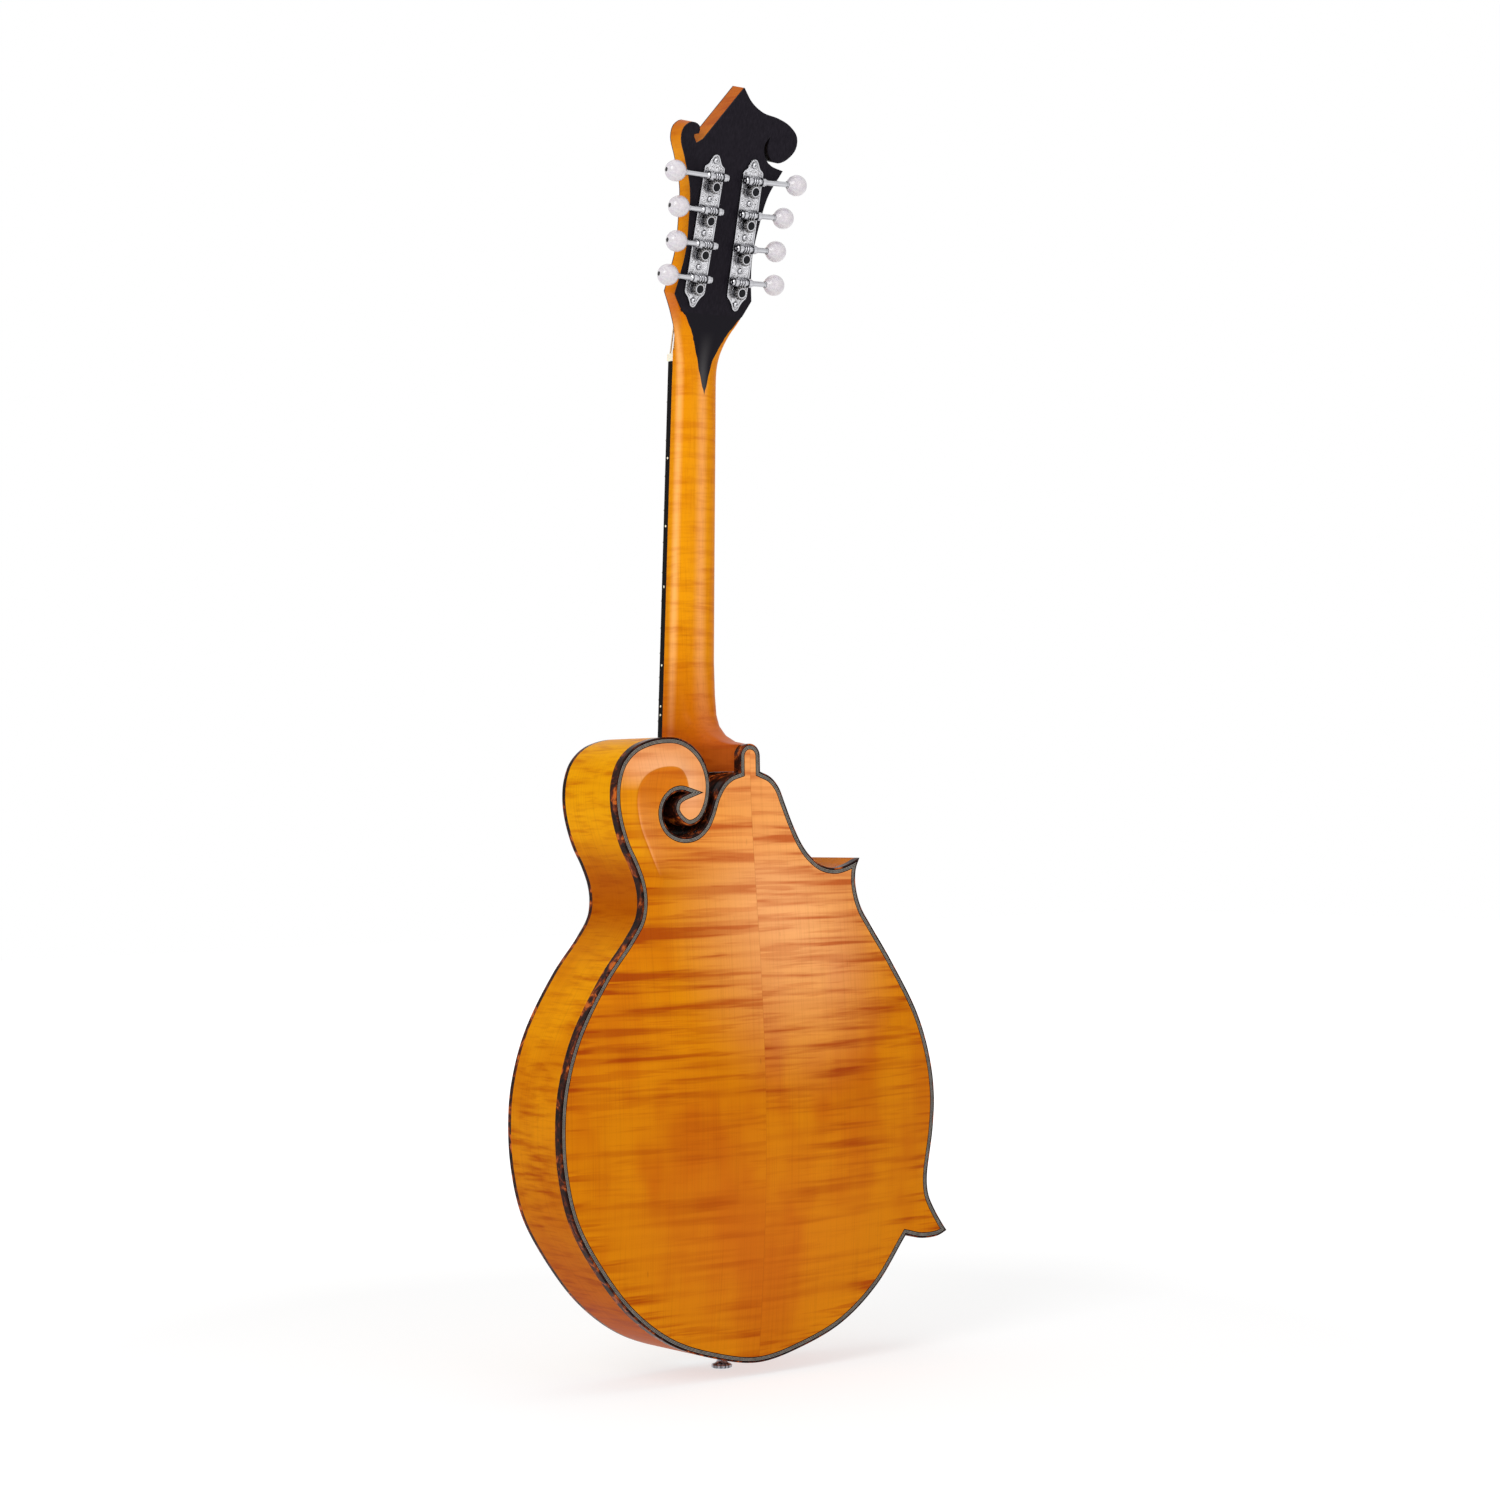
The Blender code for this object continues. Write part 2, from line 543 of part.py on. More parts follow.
def make_blocks_and_linings(runs, rib_low, rib_high):
    """The solid blocks inside the ribs, and the strips that the plates are glued to."""
    wood = (SPRUCE, 0.7)
    clear = RIB_THICKNESS + GAP
    walls = inset([runs[3], runs[4], runs[0], runs[1], runs[2]], clear, closed=False)
    mortise_half, block_bottom = TENON_HALF_WIDTH + GAP, 350.0
    shoulder = [p for p in walls if p.x < -mortise_half and p.y > block_bottom and p.x > -50]
    scroll = [p for p in walls if p.x > mortise_half and p.y > block_bottom]
    floor = [Vector((-40, 340)), Vector((0, 334)), Vector((60, 338))]
    mortise_floor = NECK_JOINT - TENON_LENGTH - GAP
    mortise = [Vector((mortise_half, scroll[-1].y)), Vector((mortise_half, mortise_floor)),
               Vector((-mortise_half, mortise_floor)), Vector((-mortise_half, shoulder[0].y))]
    body_frame_prism("head_block", [shoulder + floor + scroll + mortise], rib_low, rib_high, wood)

    tail = [p for p in walls if abs(p.x) < 42 and p.y < 40]
    tail += [Vector((40, 42)), Vector((-40, 42))]
    body_frame_prism("tail_block", [tail], rib_low, rib_high, wood)

    upper = [p for p in walls if p.x < -64 and p.y > 329]
    body_frame_prism("upper_point_block", [upper], rib_low, rib_high, wood)
    lower_bout = smooth_run(LOWER_BOUT, 19.0)
    far_side = [Vector((-p.x, p.y)) for p in offset_run(lower_bout, clear)]
    lower = [p for p in walls if p.x < -121 and p.y < 119]
    chord = [p for p in far_side if 84 < p.y < 113]
    body_frame_prism("lower_point_block", [lower + chord], rib_low, rib_high, wood)

    width, height = 6.0, 12.0
    scroll_side = [p for p in lower_bout if p.y > 20 and p.x > 48]
    scroll_side += smooth_run(WAIST_AND_SCROLL[:4], 19.0)
    outer_left, inner_left = offset_run(scroll_side, clear), offset_run(scroll_side, clear + width)
    measured = [p for p in runs[4] if 124 < p.y < 318]
    outer_right, inner_right = offset_run(measured, clear), offset_run(measured, clear + width)
    low_part = [p for p in lower_bout if p.y > 20 and p.x > 48 and p.y < 112]
    for source, target in ((clear, outer_right), (clear + width, inner_right)):
        target += [Vector((-p.x, p.y)) for p in offset_run(low_part, source + GAP)[::-1]]
    sides = (("scroll_side", outer_left, inner_left), ("point_side", outer_right, inner_right))
    for side, outer, inner in sides:
        loop = [outer + inner[::-1]]
        body_frame_prism("lining_back_" + side, loop, rib_low, rib_low + height, wood)
        body_frame_prism("lining_top_" + side, loop, rib_high - height, rib_high, wood)


def make_brace(arching):
    """The one bar across the top, below the sound hole, fitted to the hollow of the plate."""
    z, half_width, half_length, height = 272.0, 4.0, 92.0, 11.0
    sections = []
    for k in range(13):
        x = half_length * (k / 6 - 1)
        heights = [float(arching.height(x, z + side, TOP_ARCH)) for side in (-half_width, half_width)]
        hollow = RIM_DEPTH + min(heights)
        top = hollow - PLATE_THICKNESS - 0.8
        bottom = top - height * (1 - 0.6 * abs(x / half_length) ** 3)
        sections.append([(x, z - half_width, bottom), (x, z + half_width, bottom),
                         (x, z + half_width, top), (x, z - half_width, top)])
    make_object("top_brace", moved(loft(sections), BODY), (SPRUCE, 0.7))


def board_back_y(z):
    """Where the fingerboard's underside is, in y, at a height z."""
    return NUT.y + BOARD_THICKNESS - (NUT.z - z) * math.tan(NECK_PITCH)


def neck_section(z, depth, taper, squareness):
    """A slice of the neck: flat under the fingerboard, rounded behind."""
    half_width = (NUT_WIDTH + (NUT.z - z) * BOARD_WIDENING) / 2
    power = 2.0 / squareness
    points = []
    for k in range(11):
        angle = math.pi * k / 10
        down = math.sin(angle) ** power
        across = math.copysign(abs(math.cos(angle)) ** power, math.cos(angle))
        points.append((half_width * across * (1 - taper * down), board_back_y(z) + GAP + depth * down, z))
    return points


def make_neck():
    """One piece of maple: shaft, heel with its tenon, and the core of the headstock."""
    heel_base = AXIS_TO_BACK - BACK_EDGE - GAP
    full = heel_base - board_back_y(424.0) - GAP
    last = heel_base - board_back_y(NECK_JOINT + GAP) - GAP
    stations = [(698.0, 11.5, 0.0, 2.3), (689.0, 13.0, 0.0, 2.3), (560.0, 15.0, 0.0, 2.3),
                (483.0, 16.8, 0.02, 2.3), (460.0, 19.5, 0.05, 2.4), (446.0, 23.0, 0.10, 2.5),
                (438.0, 29.0, 0.18, 2.6), (431.0, 40.0, 0.32, 2.9), (426.5, 53.0, 0.46, 3.4),
                (424.3, full, 0.60, 4.5), (NECK_JOINT + GAP, last, 0.60, 4.5)]
    neck = make_object("neck", neck_skin([neck_section(*station) for station in stations]), (MAPLE, 0.25))

    low, high = HEAD_BACK + OVERLAY + GAP, HEAD_FRONT - HEADPLATE - GAP
    loops = head_loops([p for p in head_outline() if p.y > HEAD_FOOT] + HEAD_FOOT_CORNERS)
    core = make_object("core", moved(prism(loops, low, high), HEAD), (MAPLE, 0.25))
    flare = make_object("flare", moved(throat(low + 0.2, high - 0.2), HEAD), (MAPLE, 0.25))
    half, foot, root = TENON_HALF_WIDTH, NECK_JOINT - TENON_LENGTH, NECK_JOINT + 6.0
    tenon_loop = [(-half, foot), (half, foot), (half, root), (-half, root)]
    tenon_top = RIM_DEPTH - TOP_EDGE - 2 * GAP
    tenon = make_object("tenon", moved(prism([tenon_loop], TENON_BACK, tenon_top), BODY), (MAPLE, 0.25))
    boolean(neck, [flare, core, tenon], "UNION")

    under_board = -BOARD_THICKNESS - GAP
    channel = make_object("channel", bar(GAP, under_board - 9.0, under_board + 2.0), (MAPLE, 0.25))
    boolean(neck, [channel], "DIFFERENCE")
    make_object("neck_bar", bar(0.0, under_board - 9.0 + GAP, under_board), (STEEL, 0.35, 1.0))


def throat(back, front):
    """The flare from the neck's round back to the flat headstock, in the headstock's own frame."""
    sections = []
    for along, half_width, squareness in THROAT:
        power = 2.0 / squareness
        section = []
        for k in range(11):
            angle = math.pi * k / 10
            across = math.copysign(abs(math.cos(angle)) ** power, math.cos(angle))
            down = math.sin(angle) ** power
            section.append((half_width * across, along, front - (front - back) * down))
        sections.append(section)
    return loft(sections)


def bar(clearance, bottom, top):
    """The stiffening bar let into the neck under the fingerboard, or the channel that it sits in."""
    half, first, last = 2.8 + clearance, 12.0 - clearance, 252.0 + clearance
    loop = [(-half, -last), (half, -last), (half, -first), (-half, -first)]
    return moved(prism([loop], bottom, top), NECK)


def neck_skin(sections):
    """The neck's skin; its lower end runs on as the tongue that carries the fingerboard over the top."""
    bm = loft(sections, closed_ends=False)
    bm.verts.ensure_lookup_table()
    count = len(sections[0])
    bm.faces.new([bm.verts[k] for k in range(count)])
    heel = [bm.verts[-count + k] for k in range(count)]
    underside, draft = AXIS_TO_BACK - RIM_DEPTH - 7.5, 3.0
    rings = [heel[:1] + heel[-1:]]
    for corner in rings[0][::-1]:
        across = corner.co.x - math.copysign(draft, corner.co.x)
        rings[0].append(bm.verts.new((across, underside, corner.co.z)))
    end = BOARD_END + 5.0
    half, face = (NUT_WIDTH + (NUT.z - end) * BOARD_WIDENING) / 2, board_back_y(end) + GAP
    tip = [(half, face), (-half, face), (draft - half, underside), (half - draft, underside)]
    rings.append([bm.verts.new((x, y, end)) for x, y in tip])
    for k in range(4):
        n = (k + 1) % 4
        bm.faces.new((rings[0][k], rings[0][n], rings[1][n], rings[1][k]))
    bm.faces.new(rings[1])
    outline = heel + rings[0][2:]
    for triangle in tessellate_polygon([[Vector((v.co.x, v.co.y, 0.0)) for v in outline]]):
        bm.faces.new([outline[k] for k in triangle])
    return bm


def head_outline(step=13.0):
    runs = [HEAD_SCROLL_EDGE, HEAD_SCROLL_SIDE, HEAD_DIAGONAL, HEAD_CURL, HEAD_SLOT, HEAD_POINT_SIDE,
            HEAD_POINT_EDGE]
    points = []
    for run in runs:
        sampled = [Vector(p) for p in run] if run is HEAD_DIAGONAL else smooth_run(run, step)
        points += sampled[:-1]
    return points + [Vector(HEAD_POINT_EDGE[-1])]


def post_places():
    """Each tuner post: side, number from the top, and its place on the headstock."""
    for side, name in ((1, "scroll"), (-1, "point")):
        for k in range(POSTS_PER_SIDE):
            down = POST_SPACING * k
            yield side, name, k, (side * (ROW_TOP + down * math.tan(ROW_SPREAD)), -down)


def head_loops(outline):
    return [outline] + [circle(place, POST_RADIUS + 0.8, 6, 0.2) for _, _, _, place in post_places()]


def make_head_faces():
    """The black veneers behind and in front of the headstock."""
    black = (EBONY, 0.45)
    tip = [(-17.8, -91), (-10.2, -107), (-1.2, -117), (1.2, -117), (10.2, -107), (17.8, -91)]
    stinger = [p for p in head_outline() if p.y > HEAD_FOOT] + [Vector(p) for p in tip]
    back = prism(head_loops(stinger), HEAD_BACK, HEAD_BACK + OVERLAY)
    make_object("head_back_overlay", moved(back, HEAD), black)
    short = [p for p in head_outline() if p.y > -112]
    front = prism(head_loops(short), HEAD_FRONT - HEADPLATE, HEAD_FRONT)
    make_object("headplate", moved(front, HEAD), black)


def make_fingerboard():
    """The raised ebony board; its frets are part of its profile."""
    length = (NUT.z - BOARD_END) / math.cos(NECK_PITCH)
    profile = [(0.0, -BOARD_THICKNESS), (0.0, 0.0)]
    for fret in range(1, FRETS + 1):
        place = SCALE * (1 - 2 ** (-fret / 12))
        profile += [(place - FRET_WIDTH / 2, 0.0), (place - FRET_WIDTH / 5, FRET_HEIGHT),
                    (place + FRET_WIDTH / 5, FRET_HEIGHT), (place + FRET_WIDTH / 2, 0.0)]
    profile += [(length, 0.0), (length, -BOARD_THICKNESS)]
    sections = []
    for side in (-1, 1):
        sections.append([(side * (NUT_WIDTH + along * BOARD_WIDENING) / 2, -along, depth)
                         for along, depth in profile])
    bm = loft(sections, closed_ends=False)
    bm.verts.ensure_lookup_table()
    flat = [Vector((along, depth, 0.0)) for along, depth in profile]
    for first in (0, len(profile)):
        for triangle in tessellate_polygon([flat]):
            bm.faces.new([bm.verts[first + k] for k in triangle])
    make_object("fingerboard", moved(bm, NECK), (EBONY, 0.4))


def string_spread(pair_gap, course_gap):
    """The eight strings' places across, from the scroll's side to the other."""
    places = []
    for course in range(4):
        centre = course_gap * (1.5 - course)
        places += [centre + pair_gap / 2, centre - pair_gap / 2]
    return places


NUT_SPREAD = string_spread(2.3, 8.2)
BRIDGE_SPREAD = string_spread(2.9, 11.4)
STRING_RADII = (0.58, 0.43, 0.30, 0.20)


def make_nut():
    """Bone, with a slot for each string."""
    low, high, slot = -BOARD_THICKNESS, 2.0, 1.1
    loop = [(NUT_WIDTH / 2, low), (NUT_WIDTH / 2, high - 0.8), (NUT_WIDTH / 2 - 1.2, high)]
    for place in NUT_SPREAD:
        loop += [(place + 0.9, high), (place, high - slot), (place - 0.9, high)]
    loop += [(-NUT_WIDTH / 2 + 1.2, high), (-NUT_WIDTH / 2, high - 0.8), (-NUT_WIDTH / 2, low)]
    bm = prism([loop], 0.0, 5.0)
    stand = Matrix(((1, 0, 0, 0), (0, 0, 1, GAP), (0, 1, 0, 0), (0, 0, 0, 1)))
    make_object("nut", moved(moved(bm, stand), NECK), (BONE, 0.3))


def post_matrix(place, side, depth=0.0):
    """A tuner's own frame on the headstock, with x out along its shaft and z out of the front."""
    spin = Matrix.Rotation(side * ROW_SPREAD, 4, "Z")
    return HEAD @ Matrix.Translation((place[0], place[1], depth)) @ spin


def mirror_if(bm, side):
    if side < 0:
        bmesh.ops.scale(bm, vec=(-1.0, 1.0, 1.0), verts=bm.verts)
    return bm


def worm_shaft(reach):
    """A steel shaft turned about x, with one long screw thread cut as a single ridge."""
    sides, steps = 8, 8 * WORM_TURNS
    half = WORM_LEAD * WORM_TURNS / 2 + 0.5
    start = -WORM_LEAD * WORM_TURNS / 2
    bm = bmesh.new()

    def ring(x, radius):
        return [bm.verts.new((x, radius * y, radius * z)) for y, z in circle((0, 0), 1.0, sides, math.pi)]

    def bridge(before, after):
        for k in range(sides):
            n = (k + 1) % sides
            bm.faces.new((before[k], before[n], after[n], after[k]))

    foot, tip = 0.50, 0.26
    shape = ((-foot, WORM_ROOT), (-tip, WORM_RADIUS), (tip, WORM_RADIUS), (foot, WORM_ROOT))
    ridge = []
    for k in range(steps + 1):
        angle = math.pi + 2 * math.pi * k / sides
        x = start + WORM_LEAD * k / sides
        row = []
        for shift, radius in shape:
            row.append(bm.verts.new((x + shift, radius * math.cos(angle), radius * math.sin(angle))))
        ridge.append(row)
    low, high = ring(-half - 0.2, WORM_ROOT), ring(half + 0.2, WORM_ROOT)
    for k in range(steps):
        for edge in range(3):
            bm.faces.new((ridge[k][edge], ridge[k + 1][edge], ridge[k + 1][edge + 1], ridge[k][edge + 1]))
    for k in range(steps - sides):
        bm.faces.new((ridge[k][3], ridge[k + 1][3], ridge[k + sides + 1][0], ridge[k + sides][0]))
    for k in range(sides - 1):
        bm.faces.new((low[k], low[k + 1], ridge[k + 1][0], ridge[k][0]))
        top = steps - sides + k
        bm.faces.new((ridge[top][3], ridge[top + 1][3], high[k + 1], high[k]))
    bm.faces.new((low[sides - 1], low[0], ridge[0][0], ridge[0][3], ridge[sides][0], ridge[sides - 1][0]))
    bm.faces.new((ridge[steps - 1][3], ridge[steps][3], high[0], high[sides - 1]))
    bm.faces.new((ridge[steps - sides][3], ridge[steps][0], ridge[steps][3], high[0]))
    bm.faces.new(ridge[0])
    bm.faces.new(ridge[steps])

    collar = LUG_OUTER + GAP
    inner = [ring(-collar, WORM_ROOT - 0.1), ring(-collar, CAP_RADIUS), ring(-collar - 1.7, CAP_RADIUS)]
    before = low
    for after in inner:
        bridge(after, before)
        before = after
    bm.faces.new(before)
    outer = [ring(collar, WORM_ROOT - 0.1), ring(collar, CAP_RADIUS), ring(collar + 1.3, SHAFT_RADIUS),
             ring(reach + 1.0, SHAFT_RADIUS)]
    before = high
    for after in outer:
        bridge(before, after)
        before = after
    bm.faces.new(before)
    return bm


def string_post():
    """A post turned about z with its worm wheel; the teeth slant to lie along the thread."""
    bm = bmesh.new()
    slant = GEAR_THICKNESS * WORM_LEAD / (2 * math.pi * (WORM_RADIUS + WORM_ROOT) / 2) / 4.35
    pitch = 2 * math.pi / GEAR_TEETH
    tooth_shape = ((-0.26, GEAR_ROOT), (-0.11, GEAR_RADIUS), (0.11, GEAR_RADIUS), (0.26, GEAR_ROOT))
    profile = []
    for tooth in range(GEAR_TEETH):
        centre = math.pi / 2 + pitch * tooth
        for share, radius in tooth_shape:
            profile.append((centre + share * pitch, radius))
    low, high = WORM_DEPTH - GEAR_THICKNESS / 2, WORM_DEPTH + GEAR_THICKNESS / 2
    rings = []
    for depth, turn in ((low, slant / 2), (high, -slant / 2)):
        rings.append([bm.verts.new((r * math.cos(a + turn), r * math.sin(a + turn), depth))
                      for a, r in profile])
    lower, upper = rings
    for k in range(len(profile)):
        n = (k + 1) % len(profile)
        bm.faces.new((lower[k], lower[n], upper[n], upper[k]))
    sides = 8

    def ring(depth, radius):
        return [bm.verts.new((x, y, depth)) for x, y in circle((0, 0), radius, sides, math.pi / sides)]

    def face_ring(outer, hole):
        flat = [[v.co.copy() for v in outer], [v.co.copy() for v in hole]]
        corners = outer + hole
        for triangle in tessellate_polygon([[Vector((c.x, c.y, 0.0)) for c in loop] for loop in flat]):
            bm.faces.new([corners[k] for k in triangle])

    def bridge(before, after):
        for k in range(sides):
            n = (k + 1) % sides
            bm.faces.new((before[k], before[n], after[n], after[k]))

    neck = ring(high, POST_RADIUS)
    face_ring(upper, neck)
    turned = [neck, ring(25.5, POST_RADIUS), ring(27.0, POST_WAIST), ring(32.8, POST_WAIST),
              ring(POST_END, POST_RADIUS)]
    for before, after in zip(turned, turned[1:]):
        bridge(before, after)
    bm.faces.new(turned[-1])
    head = ring(low, 2.4)
    face_ring(lower, head)
    crown = ring(low - 1.1, 1.9)
    bridge(head, crown)
    bm.faces.new(crown)
    return bm


def knob():
    """A pearl button turned about x, with a blind bore for the shaft and a dimple at its far pole."""
    length, radius = KNOB_HALF_LENGTH, KNOB_RADIUS
    bore = SHAFT_RADIUS + GAP
    profile = [(1.4, 0.0), (1.4, bore), (-length + 0.3, bore), (-length, 3.2)]
    for angle in (-50, -15, 20, 55):
        spread = math.radians(angle)
        profile.append((length * math.sin(spread), radius * math.cos(spread)))
    profile += [(length, 1.3), (length - 0.7, 0.9), (length - 0.7, 0.0)]
    return lathe(profile, 9, KNOB_FLATTENING)


def plate_outline():
    """A tuner strip: straight sides and a waisted lyre tip at each end, y up from the highest post."""
    step = 5.0
    upper = smooth_run([(PLATE_HALF_WIDTH, 10.0), (7.9, 12.8), (5.2, 15.0), (3.3, 18.6), (1.7, 20.9),
                        (0.0, 21.4)], step)
    lower = smooth_run([(0.0, -82.2), (1.8, -81.4), (3.2, -78.6), (5.4, -75.2), (7.7, -72.8),
                        (PLATE_HALF_WIDTH, -70.4)], step)
    right = lower + upper
    return right + [Vector((-p.x, p.y)) for p in reversed(right[1:-1])]


def lug(low, high):
    """A bearing for the worm shaft, standing on the strip between two distances along the shaft."""
    width, crown = 3.1, WORM_DEPTH - 3.1
    arch = [(width, PLATE_FACE + 0.5), (width, WORM_DEPTH), (2.2, crown + 0.9), (0.0, crown),
            (-2.2, crown + 0.9), (-width, WORM_DEPTH), (-width, PLATE_FACE + 0.5)]
    bore = circle((0.0, WORM_DEPTH), WORM_ROOT + 0.6, 6)
    bm = prism([arch, bore], low, high)
    turn = Matrix(((0, 0, 1, 0), (1, 0, 0, WORM_RISE), (0, 1, 0, 0), (0, 0, 0, 1)))
    return moved(bm, turn)


def tuner_plate(name, side, first_place):
    """The engraved strip with its bearings and fixing screws."""
    steel = (CHROME, 0.18, 1.0)
    bores = [circle((0.0, -POST_SPACING * k / math.cos(ROW_SPREAD)), POST_RADIUS + 0.8, 6, math.pi / 6)
             for k in range(POSTS_PER_SIDE)]
    base = mirror_if(prism([plate_outline()] + bores, PLATE_FACE, PLATE_BACK), side)
    place = post_matrix(first_place, side)
    strip = make_object(name, base, steel, place)
    bearings = bmesh.new()
    fittings = []
    for k in range(POSTS_PER_SIDE):
        down = Matrix.Translation((0.0, -POST_SPACING * k / math.cos(ROW_SPREAD), 0.0))
        fittings += [moved(lug(LUG_INNER, LUG_OUTER), down), moved(lug(-LUG_OUTER, -LUG_INNER), down)]
    for along in SCREW_PLACES:
        screw = prism([circle((0.0, along), 2.1, 8)], PLATE_FACE - 1.0, PLATE_FACE + 0.6)
        fittings.append(screw)
    for piece in fittings:
        scratch = bpy.data.meshes.new("scratch")
        mirror_if(piece, side).to_mesh(scratch)
        piece.free()
        bearings.from_mesh(scratch)
        bpy.data.meshes.remove(scratch)
    lugs = make_object("lugs", bearings, steel, place)
    boolean(strip, [lugs], "UNION")


def make_tuners():
    """Eight tuners on two strips: knob and worm turn together, and the worm drives the post's wheel."""
    firsts = {}
    for side, name, k, place in post_places():
        label = "%s_%d" % (name, k + 1)
        steel, pearl = (CHROME, 0.2, 1.0), (PEARL, 0.25)
        base = post_matrix(place, side)
        firsts.setdefault(side, (name, place))
        axis = base @ Matrix.Translation((0.0, WORM_RISE, WORM_DEPTH))
        make_object("worm_shaft_" + label, mirror_if(worm_shaft(KNOB_REACH[k]), side), steel, axis)
        far = axis @ Matrix.Translation((side * KNOB_REACH[k], 0.0, 0.0))
        make_object("knob_" + label, mirror_if(knob(), side), pearl, far, 60.0)
        make_object("string_post_" + label, mirror_if(string_post(), side), steel, base)
    for side, (name, place) in firsts.items():
        tuner_plate("tuner_plate_" + name, side, place)


def make_bridge(arching):
    """A two-foot base that follows the top, two thumbwheels, and the saddle that they lift."""
    black = (EBONY, 0.35)
    base_top = WHEEL_DEPTH - WHEEL_THICKNESS / 2 - GAP - SADDLE_TRAVEL
    sections = []
    for k in range(17):
        x = BRIDGE_HALF_LENGTH * (k / 8 - 1)
        foot = RIM_DEPTH + GAP + max(float(arching.height(x, BRIDGE_Z + side, TOP_ARCH))
                                     for side in (-BRIDGE_HALF_WIDTH, 0.0, BRIDGE_HALF_WIDTH))
        if abs(x) < 22.0:
            foot = min(foot + 2.2, base_top - 2.0)
        crown = base_top - 5.5 * smoothstep((abs(x) - 36.0) / 34.0)
        crown = max(float(crown), foot + 2.6)
        half = BRIDGE_HALF_WIDTH * (1.0 - 0.25 * abs(x) / BRIDGE_HALF_LENGTH)
        sections.append([(x, BRIDGE_Z - half, foot), (x, BRIDGE_Z + half, foot),
                         (x, BRIDGE_Z + half * 0.7, crown), (x, BRIDGE_Z - half * 0.7, crown)])
    base = make_object("bridge_base", moved(loft(sections), BODY), black)
    post_top = base_top + 7.0
    posts = []
    for side in (-1, 1):
        loop = circle((side * BRIDGE_POST_X, BRIDGE_Z), 1.5, 8)
        post = moved(prism([loop], base_top - 3.0, post_top), BODY)
        posts.append(make_object("bridge_post", post, black))
    boolean(base, posts, "UNION")

    for side, name in ((1, "scroll"), (-1, "point")):
        around = circle((0, 0), WHEEL_RADIUS, 20)
        rim = [(x, y) if k % 2 else (0.93 * x, 0.93 * y) for k, (x, y) in enumerate(around)]
        bm = prism([rim, circle((0, 0), 1.85, 8)], -WHEEL_THICKNESS / 2, WHEEL_THICKNESS / 2)
        spot = Matrix.Translation((side * BRIDGE_POST_X, BRIDGE_Z, WHEEL_DEPTH))
        make_object("thumbwheel_" + name, bm, (BRONZE, 0.3, 1.0), BODY @ spot)

    low = WHEEL_DEPTH + WHEEL_THICKNESS / 2 + GAP
    tip = STRING_DEPTH_AT_BRIDGE - STRING_RADII[0] - 0.5
    lower = [(-36, low), (-20, low), (-15, low + 2.5), (15, low + 2.5), (20, low), (36, low)]
    upper = [(30, tip - 1.2), (14, tip - 0.1), (-14, tip - 0.1), (-30, tip - 1.2)]
    bm = prism([lower + upper], BRIDGE_Z - 4.0, BRIDGE_Z + 4.0)
    stand = Matrix(((1, 0, 0, 0), (0, 0, 1, 0), (0, 1, 0, 0), (0, 0, 0, 1)))
    saddle = make_object("saddle", moved(moved(bm, stand), BODY), black)
    bores = []
    for side in (-1, 1):
        loop = circle((side * BRIDGE_POST_X, BRIDGE_Z), 1.85, 8)
        bore = moved(prism([loop], low - 2.0, post_top + 2.4), BODY)
        bores.append(make_object("saddle_bore", bore, black))
    boolean(saddle, bores, "DIFFERENCE")


def make_tailpiece():
    """A bent metal plate hooked over the tail, with a raised tongue that the strings hang from."""
    half, sheet = 17.0, 1.4
    tail = BODY_BOTTOM - GAP
    path = [(57.5, tail), (RIM_DEPTH + 1.0, tail), (70.0, tail + 4.5), (78.0, 45.0), (82.0, 90.0),
            (84.5, 104.0)]
    thick = []
    for k, (depth, z) in enumerate(path):
        a, b = path[max(k - 1, 0)], path[min(k + 1, len(path) - 1)]
        along = Vector((b[0] - a[0], b[1] - a[1])).normalized()
        thick.append((depth + along.y * sheet, z - along.x * sheet))
    loop = path + thick[::-1]
    bm = prism([loop], -half, half)
    stand = Matrix(((0, 0, 1, 0), (0, 1, 0, 0), (1, 0, 0, 0), (0, 0, 0, 1)))
    plate = make_object("tailpiece", moved(moved(bm, stand), BODY), (CHROME, 0.22, 1.0))
    hooks = []
    for place in BRIDGE_SPREAD:
        x = place * 0.8
        loop = [(x - 0.8, 92.0), (x + 0.8, 92.0), (x + 0.8, 94.5), (x - 0.8, 94.5)]
        hooks.append(make_object("hook", moved(prism([loop], 83.0, 86.6), BODY), (CHROME, 0.22, 1.0)))
    boolean(plate, hooks, "UNION")


def make_strap_button():
    """Turned metal, flange down; its end face is the part's origin."""
    seat = BODY_BOTTOM - GAP
    profile = [(0.0, 0.0), (0.0, 6.4), (0.8, 7.1), (2.0, 7.1), (2.8, 6.2), (3.6, 4.2), (6.4, 3.3),
               (seat, 5.0), (seat, 0.0)]
    bm = lathe(profile, 16)
    upright = Matrix(((0, 0, 1, 0), (0, 1, 0, 0), (1, 0, 0, 0), (0, 0, 0, 1)))
    make_object("strap_button", moved(bm, upright), (CHROME, 0.2, 1.0))


